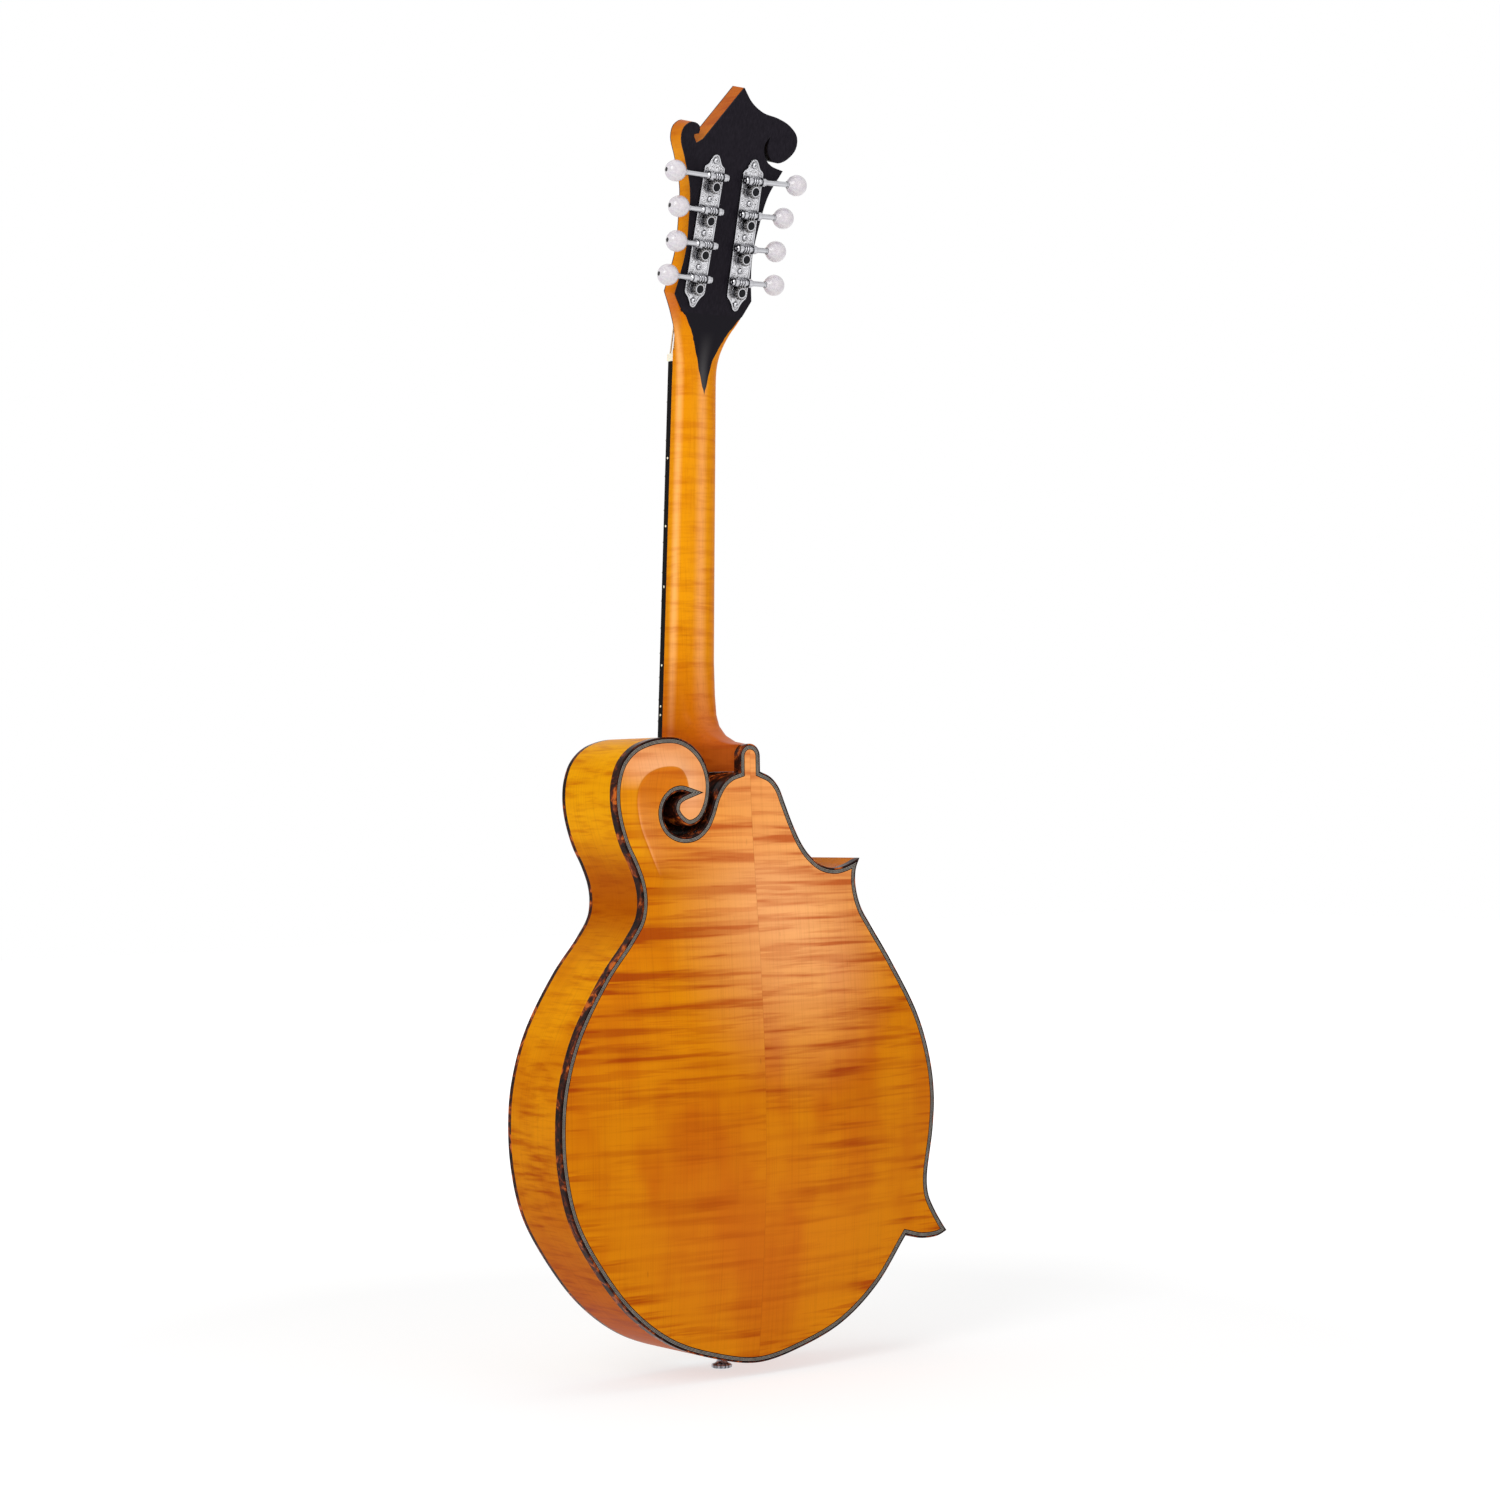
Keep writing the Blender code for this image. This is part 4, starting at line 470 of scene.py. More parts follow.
def neck_maple():
    """The neck's maple, with the painted black tongue that runs down from the headstock's back, and painted
    highlights and shade set by how far round the neck a point lies.
    """
    finish = Finish("neck_maple")
    spot = finish.node("ShaderNodeTexCoord", output="Object")
    x, y, z = finish.split(spot)
    board_back = z.span(0.4, 0.7, board_back_y(400.0) * MM, board_back_y(700.0) * MM)
    turn = finish.maths("ARCTAN2", y - board_back, x)

    # A painted highlight band: points near a given angle round the neck from the board, fading out up the
    # throat.
    def highlight_band(centre, half, strength):
        away = abs(turn - math.radians(centre))
        made = away.span(0.0, math.radians(half), strength, 0.0, interpolation_type="SMOOTHSTEP")
        return made * z.span(0.735, 0.700)

    ridge = highlight_band(88.0, 24.0, 1.0)
    # Painted light and shade: pale highlight bands at 24 and 88 degrees round from the board, painted shade
    # past about 106 degrees and along the board's edge on the scroll's side.
    tones_and_painted_light = [(highlight_band(24.0, 14.0, 0.65), srgb(255, 186, 110)),
             (ridge * 0.60, srgb(240, 164, 96)),
             (turn.span(1.85, 2.3, 0.0, 0.45), srgb(196, 112, 24)),
             (turn.span(0.22, 0.05, 0.0, 0.4), srgb(206, 124, 12)),
             (z.span(0.49, 0.425, 0.0, 0.85), srgb(178, 68, 4)),
             (z.span(0.708, 0.722) * z.span(0.748, 0.728, 0.0, 0.65), srgb(190, 78, 4)),
             (z.span(0.824, 0.842, 0.0, 0.85), srgb(168, 78, 26)),
             (z.span(0.785, 0.800) * x.span(-0.019, -0.024), srgb(30, 22, 22))]
    colour, flame, fibres = maple_colour(finish, spot, (30.0, 30.0, 240.0), (900.0, 900.0, 12.0),
                                         srgb(224, 144, 8), srgb(216, 131, 5), 0.4, 1.0, tones_and_painted_light)
    low, high, widest = 0.664, 0.7205, 26.6 * MM
    stops = [((height * MM - low) / (high - low), (half * MM / widest,) * 3 + (1.0,))
             for height, half in TONGUE_HALF_WIDTHS]
    width = finish.ramp(z.span(low, high), stops, "CARDINAL") * widest
    foot_slope, foot = 0.59, 0.4191
    painted = (abs(x + TONGUE_LEAN * MM) < width) * (y > z * foot_slope - foot)
    # A painted highlight on the black tongue along the 88-degree band, fading out towards the headstock.
    glint = ridge * z.span(0.708, 0.680, 0.0, 0.045)
    black = finish.blend(glint, srgb(26, 24, 29), srgb(255, 250, 248))
    return lacquered(finish, finish.blend(painted, colour, black), flame, fibres)


def spruce(name, tone, roughness):
    """Straight close grain up and down, with faint silk across it."""
    finish = Finish(name, roughness=roughness)
    vector = finish.place()
    x, y, z = finish.split(vector)
    warped = finish.noise(vector, (9.0, 1.0, 1.5), 2.0)
    rings = finish.maths("SINE", x * 3300.0 + warped * 14.0)
    uneven = finish.noise(vector, (420.0, 1.0, 1.6), 3.0, 0.6)
    rings = rings.span(-1.0, 1.0) * uneven.span(0.3, 0.7, 0.2, 1.0)
    light, dark = scaled(tone, (1.08, 1.08, 1.08)), scaled(tone, (0.82, 0.66, 0.5))
    colour = finish.ramp(rings, [(0.0, light), (0.62, tone), (1.0, dark)])
    silk = finish.noise(vector, (60.0, 1.0, 240.0), 2.0)
    silk = finish.ramp(silk, [(0.3, srgb(200, 190, 175)), (0.7, srgb(255, 255, 255))])
    colour = finish.blend(0.18, colour, silk, "MULTIPLY")
    finish.set("Base Color", colour)
    return finish, colour, x, z


def top_spruce():
    """The top, with a ringed inlay round the sound hole."""
    finish, wood, x, z = spruce("top_spruce", srgb(226, 158, 70), 0.34)
    finish.set("Specular IOR Level", 0.25)
    across = x / (SOUND_HOLE_RADII[0] * MM)
    up = (z - SOUND_HOLE[1] * MM) / (SOUND_HOLE_RADII[1] * MM)
    reach = finish.maths("SQRT", across * across + up * up)
    black, white = srgb(26, 20, 18), srgb(226, 214, 186)
    stops = [(0.0, black), (0.05, white), (0.10, black), (0.40, white), (0.44, black), (0.48, white),
             (0.52, black)]
    rings = finish.ramp(reach.span(1.0, 1.6), stops, "CONSTANT")
    finish.set("Base Color", finish.blend(reach < 1.34, wood, rings))
    return finish.material


def tortoise(name, gloss):
    """Dark shell with clouded amber and red patches, polished."""
    finish = Finish(name, roughness=0.22, Specular_IOR_Level=gloss)
    vector = finish.place()
    clouds = finish.noise(vector, 78.0, 4.0, 0.6, 1.4)
    deep = finish.noise(finish.mapped(vector, shift=(3.0, 1.0, 2.0)), 150.0, 3.0, 0.6, 0.8)
    stops = [(0.38, srgb(20, 10, 8)), (0.50, srgb(48, 20, 12)), (0.565, srgb(112, 46, 16)),
             (0.62, srgb(186, 92, 28))]
    finish.set("Base Color", finish.ramp(clouds * 0.7 + deep * 0.3, stops))
    return finish.material


def grained(name, scale, stops, detail=3.0, rough=0.55, **settings):
    """A finish whose colour follows one noise, stretched along the grain."""
    finish = Finish(name, **settings)
    grain = finish.noise(finish.place(scale), 1.0, detail, rough)
    finish.set("Base Color", finish.ramp(grain, stops))
    return finish, grain


def ply(name, colour):
    """One thin line of the edging; lacquer pools a little differently along it."""
    stops = [(0.35, scaled(colour, (0.78, 0.78, 0.78))), (0.65, colour)]
    return grained(name, (220.0,) * 3, stops, 2.0, roughness=0.3, Specular_IOR_Level=0.015)[0].material


def dark_wood(name, colour, roughness, coat=0.0):
    """Ebony or black veneer: near black with short pores along the grain."""
    brown = tuple(c * 1.5 + 0.002 for c in colour[:3]) + (1.0,)
    finish, pores = grained(name, (900.0, 900.0, 40.0), [(0.40, colour), (0.72, brown)], 3.0, 0.7,
                            roughness=roughness, Specular_IOR_Level=0.03, Coat_Weight=coat,
                            Coat_Roughness=0.25)
    finish.bump(pores, 0.00003, 0.5)
    return finish.material


def bone():
    stops = [(0.3, srgb(226, 214, 186)), (0.7, srgb(244, 238, 220))]
    return grained("bone", (300.0, 900.0, 900.0), stops, roughness=0.3, Subsurface_Weight=0.1,
                   Subsurface_Scale=0.001)[0].material


def pearl():
    """White mother-of-pearl plastic: slow swirls of cream, pink and lavender under a hard gloss."""
    finish = Finish("pearl", roughness=0.18, Specular_IOR_Level=0.3, Coat_Weight=0.25, Coat_Roughness=0.05)
    vector = finish.place()
    swirl = finish.noise(vector, 240.0, 3.0, 0.5, 2.2)
    flakes = finish.cells(finish.mapped(vector, (1.0, 1.6, 1.0)), 300.0, output="Color")
    shade = finish.ramp(swirl, [(0.30, srgb(190, 184, 192)), (0.46, srgb(200, 195, 200)),
                                (0.60, srgb(208, 204, 206)), (0.74, srgb(194, 188, 196))])
    finish.set("Base Color", finish.blend(0.02, shade, flakes))
    return finish.material


def metal(name, colour, roughness):
    """Plated or drawn metal: fine scuffs in its polish, and painted shade that darkens its corners."""
    finish = Finish(name, colour, roughness, 1.0)
    scuffs = finish.noise(finish.place(), 700.0, 4.0, 0.65)
    # Painted shade: the colour darkens towards dark grey in tight corners.
    finish.set("Base Color", finish.painted_corner_shade(colour, 0.55))
    finish.set("Roughness", scuffs.span(0.3, 0.7, roughness * 0.7, roughness * 1.6))
    finish.bump(scuffs, 0.00001, 0.3)
    return finish


def button_metal():
    """Nickel with painted reflections: bright and dark bands run up the strap button's side."""
    finish = metal("button_painted_reflections", srgb(128, 126, 130), 0.24)
    reflection_bands = finish.noise(finish.place((420.0, 420.0, 30.0)), 1.0, 2.0, 0.6)
    # Painted reflections: the colour swings between dark and bright bands round the button.
    finish.set("Base Color", finish.ramp(reflection_bands, [(0.40, srgb(44, 47, 54)), (0.60, srgb(196, 204, 214))]))
    finish.set("Metallic", 0.55)
    return finish.material


def engraved_metal():
    """Bright plate cut with curling foliage: warped rings, dark in the cuts."""
    finish = metal("engraved_metal", srgb(200, 200, 204), 0.2)
    vector = finish.place()
    warp = finish.node("ShaderNodeTexNoise", {"Vector": vector, "Scale": 190.0, "Detail": 1.0}, "Color")
    push = finish.node("ShaderNodeVectorMath", {0: warp, 3: 0.006}, operation="SCALE")
    bent = finish.node("ShaderNodeVectorMath", {0: vector, 1: push}, operation="ADD")
    cuts = finish.maths("SINE", finish.cells(bent, 310.0, 0.85) * 26.0).span(-0.95, -0.35)
    stops = [(0.0, srgb(96, 94, 94)), (0.5, srgb(164, 162, 164)), (1.0, srgb(212, 212, 216))]
    plate = finish.ramp(cuts, stops)
    # Painted shade darkens the plate in tight corners, next to the lugs, washers and screws.
    finish.set("Base Color", finish.painted_corner_shade(plate, 0.8, 0.004))
    finish.bump(cuts, 0.00010, 0.6)
    return finish.material


def wound_metal(radius):
    """Bronze wrap on a string: close turns across its length."""
    finish = Finish("wound_%03d" % round(radius * 100), srgb(214, 184, 150), 0.3, 1.0)
    pitch = radius * 0.62 * MM
    turns = finish.maths("SINE", finish.split(finish.place())[2] * (2 * math.pi / pitch))
    finish.bump(turns, 0.00006, 0.8)
    finish.set("Roughness", turns.span(-1.0, 1.0, 0.42, 0.24))
    return finish.material


# Mesh helpers

def make_object(name, bm, materials, node=None, slot=None, matrix=None, rides="body", sharp_angle=32.0):
    """Write a bmesh in millimetres as a piece in metres that rides on a body and replaces a node."""
    bmesh.ops.recalc_face_normals(bm, faces=bm.faces)
    bmesh.ops.scale(bm, vec=(MM, MM, MM), verts=bm.verts)
    mesh = bpy.data.meshes.new(name)
    bm.to_mesh(mesh)
    bm.free()
    mesh.shade_smooth()
    mesh.set_sharp_from_angle(angle=math.radians(sharp_angle))
    for finish in materials if isinstance(materials, list) else [materials]:
        mesh.materials.append(finish)
    item = bpy.data.objects.new(name, mesh)
    bpy.context.scene.collection.objects.link(item)
    if matrix is not None:
        place = matrix.copy()
        place.translation = matrix.translation * MM
        item.matrix_world = place
    if rides:
        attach(item, rides)
    if node:
        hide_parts(node)
    return item


def rounded(item, width):
    bevel = item.modifiers.new("round", "BEVEL")
    bevel.width = width * MM
    bevel.segments = 2
    bevel.limit_method = "ANGLE"
    bevel.angle_limit = math.radians(40.0)
    bevel.harden_normals = True


def repaint(name, finish):
    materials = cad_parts[name].data.materials
    materials.clear()
    materials.append(finish)


def smooth_run(points, step):
    """Points about a step apart on a centripetal spline through the named points."""
    named = [Vector(point) for point in points]
    ghosts = [2 * named[0] - named[1]] + named + [2 * named[-1] - named[-2]]
    run = [named[0]]
    for a, b, c, d in zip(ghosts, ghosts[1:], ghosts[2:], ghosts[3:]):
        knots = [0.0]
        for start, end in ((a, b), (b, c), (c, d)):
            knots.append(knots[-1] + math.sqrt((end - start).length))
        t0, t1, t2, t3 = knots
        pieces = max(1, round((c - b).length / step))
        for k in range(1, pieces + 1):
            t = t1 + (t2 - t1) * k / pieces
            ab = a.lerp(b, (t - t0) / (t1 - t0))
            bc = b.lerp(c, (t - t1) / (t2 - t1))
            cd = c.lerp(d, (t - t2) / (t3 - t2))
            abc = ab.lerp(bc, (t - t0) / (t2 - t0))
            bcd = bc.lerp(cd, (t - t1) / (t3 - t1))
            run.append(abc.lerp(bcd, (t - t1) / (t2 - t1)))
    return run


def body_runs():
    mirrored = [(-x, z) for x, z in LOWER_BOUT[3:0:-1]]
    tail = [LOWER_POINT[-1]] + mirrored + LOWER_BOUT + WAIST_AND_SCROLL
    return [smooth_run(run, OUTLINE_STEP) for run in (LOWER_POINT, tail, CHANNEL_WALL, SHOULDER, POINT_SIDE)]


def button_run(pieces=20):
    arc = [(BUTTON_RADIUS * math.cos(a), BUTTON_CENTRE + BUTTON_RADIUS * math.sin(a))
           for a in np.linspace(0.0, math.pi, pieces + 1)]
    return [Vector(p) for p in [(BUTTON_RADIUS, NECK_JOINT)] + arc + [(-BUTTON_RADIUS, NECK_JOINT)]]


def heading(run, k):
    return (run[min(k + 1, len(run) - 1)] - run[max(k - 1, 0)]).normalized()


def offset_run(run, distance):
    along = [heading(run, k) for k in range(len(run))]
    return [point + distance * Vector((-way.y, way.x)) for point, way in zip(run, along)]


def line_meeting(a, b, c, d):
    first, second = b - a, d - c
    cross = first.x * second.y - first.y * second.x
    if abs(cross) < 1e-6:
        return (b + c) / 2
    return a + first * (((c - a).x * second.y - (c - a).y * second.x) / cross)


def trim_corner(before, after):
    """Cut two moved runs where they cross, or extend them until they meet."""
    for i in range(len(before) - 1, 0, -1):
        for j in range(len(after) - 1):
            meeting = intersect_line_line_2d(before[i - 1], before[i], after[j], after[j + 1])
            if meeting is not None:
                return before[:i] + [meeting], [meeting] + after[j + 1:]
    corner = line_meeting(before[-2], before[-1], after[0], after[1])
    return before + [corner], [corner] + after


def inset(runs, distance, closed=True):
    """The outline moved inwards by distance, as one list of points."""
    shifted = [offset_run(run, distance) for run in runs]
    for k in range(len(shifted) if closed else len(shifted) - 1):
        after = (k + 1) % len(shifted)
        shifted[k], shifted[after] = trim_corner(shifted[k], shifted[after])
    points = []
    for run in shifted:
        points += [p for p in run if not points or (p - points[-1]).length > 0.25]
    if closed and (points[0] - points[-1]).length < 0.25:
        points.pop()
    if not closed:
        points[0] = cut_beside_neck(points[0], points[1])
        points[-1] = cut_beside_neck(points[-1], points[-2])
    return points


def cut_beside_neck(end, before):
    target = math.copysign(BUTTON_RADIUS, before.x)
    return end.lerp(before, (target - end.x) / (before.x - end.x))


def circle(radius, sides, start=0.0, centre=(0.0, 0.0)):
    turns = [start + 2 * math.pi * k / sides for k in range(sides)]
    return [(centre[0] + radius * math.cos(a), centre[1] + radius * math.sin(a)) for a in turns]


def ring(bm, points):
    return [bm.verts.new(point) for point in points]


def skin(bm, before, after, index=0):
    """A band of faces between two closed rings; either may be a single point."""
    count = max(len(before), len(after))
    for k in range(count):
        n = (k + 1) % count
        corners = (before[k % len(before)], before[n % len(before)], after[n % len(after)],
                   after[k % len(after)])
        bm.faces.new(tuple(dict.fromkeys(corners))).material_index = index


def loft(bm, rings, index=0, ends=(0, -1)):
    """Bands from ring to ring, with a flat face on the ends that are named."""
    for before, after in zip(rings, rings[1:]):
        skin(bm, before, after, index)
    for end in ends:
        bm.faces.new(rings[end]).material_index = index
    return bm


def flat_triangles(loops):
    return tessellate_polygon([[Vector((p[0], p[1], 0.0)) for p in loop] for loop in loops])


def fill(bm, outer, hole, index=0):
    """The flat face between an outline and the hole in it."""
    corners = outer + hole
    for triangle in flat_triangles([[v.co for v in outer], [v.co for v in hole]]):
        bm.faces.new([corners[k] for k in triangle]).material_index = index


def prism(loops, low, high, bm=None):
    """A straight solid between two depths; loops after the first are holes. Its sides carry UV in metres."""
    bm = bm or bmesh.new()
    uv = bm.loops.layers.uv.verify()
    rings = [[ring(bm, [(p[0], p[1], depth) for p in loop]) for depth in (low, high)] for loop in loops]
    for lower, upper in rings:
        along = 0.0
        for k in range(len(lower)):
            n = (k + 1) % len(lower)
            face = bm.faces.new((lower[k], lower[n], upper[n], upper[k]))
            after = along + (lower[n].co - lower[k].co).length
            for corner, place in zip(face.loops, ((along, low), (after, low), (after, high), (along, high))):
                corner[uv].uv = (place[0] * MM, place[1] * MM)
            along = after
    triangles = flat_triangles(loops)
    for level in (0, 1):
        corners = [vertex for pair in rings for vertex in pair[level]]
        for triangle in triangles:
            bm.faces.new([corners[k] for k in triangle])
    return bm


def lathe(profile, sides, flat=1.0, bm=None, index=0):
    """A solid turned about x from (x, radius) points; a radius of zero closes an end."""
    bm = bm or bmesh.new()
    rings = [ring(bm, [(x, y, z * flat) for y, z in circle(radius, sides if radius else 1)])
             for x, radius in profile]
    return loft(bm, rings, index, ())


def tube(points, radius, sides=8):
    bm = bmesh.new()
    rings = []
    side = Vector((1.0, 0.0, 0.0))
    for k, point in enumerate(points):
        along = heading(points, k)
        side = (side - along * side.dot(along)).normalized()
        other = along.cross(side)
        rings.append(ring(bm, [point + side * c + other * s for c, s in circle(radius, sides)]))
    return loft(bm, rings)


def moved(bm, matrix):
    bmesh.ops.transform(bm, matrix=matrix, verts=bm.verts)
    return bm


def mirror_if(bm, side):
    if side < 0:
        bmesh.ops.scale(bm, vec=(-1.0, 1.0, 1.0), verts=bm.verts)
    return bm


def inside(loop, xs, zs):
    hit = np.zeros(np.shape(xs), dtype=bool)
    for a, b in zip(loop, loop[1:] + loop[:1]):
        crosses = (a[1] > zs) != (b[1] > zs)
        reach = (b[0] - a[0]) * (zs - a[1]) / ((b[1] - a[1]) or 1e-9) + a[0]
        hit ^= crosses & (xs < reach)
    return hit


def distance_to_path(path, xs, zs, closed=False):
    nearest = np.full(np.shape(xs), 1e9)
    ends = path[1:] + path[:1] if closed else path[1:]
    for a, b in zip(path, ends):
        dx, dz = b[0] - a[0], b[1] - a[1]
        share = np.clip(((xs - a[0]) * dx + (zs - a[1]) * dz) / max(dx * dx + dz * dz, 1e-9), 0.0, 1.0)
        nearest = np.minimum(nearest, np.hypot(xs - a[0] - share * dx, zs - a[1] - share * dz))
    return nearest


def smoothstep(value):
    t = np.clip(value, 0.0, 1.0)
    return t * t * (3.0 - 2.0 * t)


def grid(corner, span, cell):
    return np.meshgrid(*[first + cell * np.arange(int(reach / cell)) for first, reach in zip(corner, span)])


# Carved plates

class Arching:
    """The carved height over a plate: a membrane's bulge inside the outline, plus the scroll's crest."""

    def __init__(self, loop):
        self.loop = loop
        self.bulge = np.zeros((1, 1))
        for cell, rounds in ((8.0, 900), (4.0, 700), (ARCH_CELL, 500)):
            self.bulge = self.settle(cell, rounds)
        self.bulge /= self.bulge.max()
        self.crest = smooth_run(CREST, 2.0)

    def settle(self, cell, rounds):
        """Relax the membrane on one grid, starting from the coarser one."""
        xs, zs = grid(BODY_CORNER, BODY_SPAN, cell)
        wood = inside(self.loop, xs, zs)
        start = np.kron(self.bulge, np.ones((2, 2)))
        bulge = np.zeros(xs.shape)
        rows, columns = (min(pair) for pair in zip(start.shape, bulge.shape))
        bulge[:rows, :columns] = start[:rows, :columns]
        for _ in range(rounds):
            around = sum(np.roll(bulge, step, axis) for axis in (0, 1) for step in (1, -1))
            bulge = np.where(wood, (around + cell * cell) / 4.0, 0.0)
        return bulge

    def swell(self, x, z):
        """The membrane's height as a share of the whole arch."""
        across = np.clip((x - BODY_CORNER[0]) / ARCH_CELL, 0, self.bulge.shape[1] - 1.001)
        up = np.clip((z - BODY_CORNER[1]) / ARCH_CELL, 0, self.bulge.shape[0] - 1.001)
        i, j = across.astype(int), up.astype(int)
        u, v = across - i, up - j
        bulge = ((1 - v) * ((1 - u) * self.bulge[j, i] + u * self.bulge[j, i + 1])
                 + v * ((1 - u) * self.bulge[j + 1, i] + u * self.bulge[j + 1, i + 1]))
        return bulge ** ARCH_POWER

    def height(self, x, z, arch):
        edge = smoothstep(distance_to_path(self.loop, x, z, closed=True) / CREST_CLEARANCE)
        ridge = np.clip(1.0 - distance_to_path(self.crest, x, z) / CREST_WIDTH, 0.0, 1.0) ** CREST_SHARPNESS
        fade = smoothstep((x - CREST_FADE[0]) / (CREST_FADE[1] - CREST_FADE[0]))
        return arch * self.swell(x, z) + CREST_HEIGHT * ridge * fade * np.sqrt(edge)


def carved_plate(name, loop, arching, face, out, arch, edge_thickness, finish, node, slot, hole=()):
    """A plate with a carved outer face, a hollowed inner face and straight edges."""

    def is_wood(x, z):
        return inside(loop, x, z) & ~inside(hole, x, z)

    xs, zs = (places.ravel() for places in grid(PLATE_CORNER, PLATE_SPAN, PLATE_CELL))
    keep = is_wood(xs, zs) & (distance_to_path(arching.crest, xs, zs) > 0.4 * PLATE_CELL)
    for edge in (loop, hole):
        keep &= distance_to_path(edge, xs, zs, closed=True) > 0.6 * PLATE_CELL
    crest = [p for p in arching.crest if distance_to_path(loop, p.x, p.y, closed=True) > 1.0]
    points, edges = [], []
    for path, joins in ((loop, len(loop)), (hole, len(hole)), (crest, len(crest) - 1)):
        first = len(points)
        points += [Vector((p[0], p[1])) for p in path]
        edges += [(first + k, first + (k + 1) % len(path)) for k in range(joins)]
    points += [Vector(place) for place in zip(xs[keep], zs[keep])]
    flat, _, triangles, _, _, _ = delaunay_2d_cdt(points, edges, [], 0, 1e-4)
    px, pz = (np.array([p[axis] for p in flat]) for axis in (0, 1))
    height = arching.height(px, pz, arch)
    on_edge = distance_to_path(loop, px, pz, closed=True) < 0.02
    height[on_edge] = 0.0
    depth = np.where(on_edge, edge_thickness, PLATE_THICKNESS)
    bm = bmesh.new()
    names = ("crest", "dome")
    for layer in names:
        bm.verts.layers.float.new(layer)
    layers = [bm.verts.layers.float[layer] for layer in names]
    outer = ring(bm, zip(px, pz, face + out * height))
    inner = ring(bm, zip(px, pz, face + out * (height - depth)))
    corners = np.array(list(triangles))
    for triangle in corners[is_wood(px[corners].mean(axis=1), pz[corners].mean(axis=1))]:
        for side in (outer, inner):
            bm.faces.new([side[k] for k in triangle])
    twin = dict(zip(outer, inner))
    for edge in [e for e in bm.edges if e.is_boundary and e.verts[0] in twin and e.verts[1] in twin]:
        a, b = edge.verts
        bm.faces.new((a, b, twin[b], twin[a]))
    signed = distance_to_path(arching.crest, px, pz) * np.where(inside(CREST_INNER_SIDE, px, pz), MM, -MM)
    for vertices in (outer, inner):
        for vertex, *values in zip(vertices, signed, arching.swell(px, pz)):
            for layer, value in zip(layers, values):
                vertex[layer] = float(value)
    bmesh.ops.delete(bm, geom=[v for v in bm.verts if not v.link_faces], context="VERTS")
    make_object(name, moved(bm, BODY), finish, node, slot, sharp_angle=50.0)


def binding(name, runs, face, out, height, finishes, node):
    """A rim of edging: a rounded shell edge, then thin plies side by side up to the plate."""
    bm = bmesh.new()
    deep, round_over = face - out * height, 0.5

    def line(distance, depth):
        return ring(bm, [(p.x, p.y, depth) for p in inset(runs, distance)])

    foot, edge = line(0.0, deep), line(0.0, face - out * round_over)
    skin(bm, foot, edge)
    distance = 0.0
    for width, index in [(round_over, 0)] + PLIES:
        distance += width
        nearer = line(distance, face)
        fill(bm, edge, nearer, index)
        edge = nearer
    inner_foot = ring(bm, [(v.co.x, v.co.y, deep) for v in edge])
    skin(bm, edge, inner_foot)
    fill(bm, foot, inner_foot)
    make_object(name, moved(bm, BODY), finishes, node, "tortoise", sharp_angle=30.0)


def make_body():
    runs = body_runs()
    with_button = runs[:3] + [button_run()] + runs[3:]
    neck_gap = [Vector((BUTTON_RADIUS, NECK_JOINT)), Vector((-BUTTON_RADIUS, NECK_JOINT))]
    top_runs = runs[:3] + [neck_gap] + runs[3:]
    hole = [(SOUND_HOLE[0] + SOUND_HOLE_RADII[0] * x, SOUND_HOLE[1] + SOUND_HOLE_RADII[1] * z)
            for x, z in circle(1.0, 72)]
    arching = Arching(inset(top_runs, BOUND_WIDTH + GAP))
    carved_plate("carved_back", inset(with_button, BOUND_WIDTH), arching, 0.0, -1.0, BACK_ARCH, BACK_EDGE,
                 back_maple(), "back_plate", "maple")
    carved_plate("carved_top", inset(top_runs, BOUND_WIDTH), arching, RIM_DEPTH, 1.0, TOP_ARCH, TOP_EDGE,
                 top_spruce(), "top_plate", "spruce", hole)
    shell = tortoise("tortoise", 0.04)
    edging = [shell, ply("ply_black", srgb(14, 13, 15)), ply("ply_white", srgb(164, 156, 146))]
    binding("edging_back", with_button, 0.0, -1.0, BACK_EDGE + GAP, edging, "binding_back")
    binding("edging_top", top_runs, RIM_DEPTH, 1.0, TOP_EDGE + GAP, edging, "binding_top")
    open_ribs = [runs[3], runs[4], runs[0], runs[1], runs[2]]
    outside, within = (inset(open_ribs, distance, closed=False) for distance in (0.0, RIB_THICKNESS))
    bent = prism([outside + within[::-1]], BACK_EDGE + GAP, RIM_DEPTH - TOP_EDGE - GAP)
    # Rib faces inside the scroll's slot take a near-black shell finish: partly the slot's shell edging,
    # partly painted shade for the slot's dim inside.
    left, right, low, high = CHANNEL_BOX
    for face in bent.faces:
        middle = face.calc_center_median()
        face.material_index = int(left < middle.x < right and low < middle.y < high)
    rib_finishes = [side_maple(), tortoise("slot_shell_and_shade", 0.004)]
    make_object("bent_ribs", moved(bent, BODY), rib_finishes, "ribs", "maple", sharp_angle=50.0)
    inside_finish = spruce("inside_spruce", srgb(214, 176, 120), 0.7)[0].material
    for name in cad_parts:
        if name.startswith("lining") or name.endswith("_block") or name == "top_brace":
            repaint(name, inside_finish)


# Neck

def board_back_y(z):
    return NUT.y + BOARD_THICKNESS - (NUT.z - z) * math.tan(NECK_PITCH)


def board_half_width(below_nut):
    return (NUT_WIDTH + below_nut * BOARD_WIDENING) / 2


def half_oval(squareness, pieces=32):
    """Shares across and down, from edge to edge; a high squareness fills out the corners."""
    power = 2.0 / squareness
    for k in range(pieces + 1):
        angle = math.pi * k / pieces
        down = math.sin(angle) ** power if 0 < k < pieces else 0.0
        yield math.copysign(abs(math.cos(angle)) ** power, math.cos(angle)), down


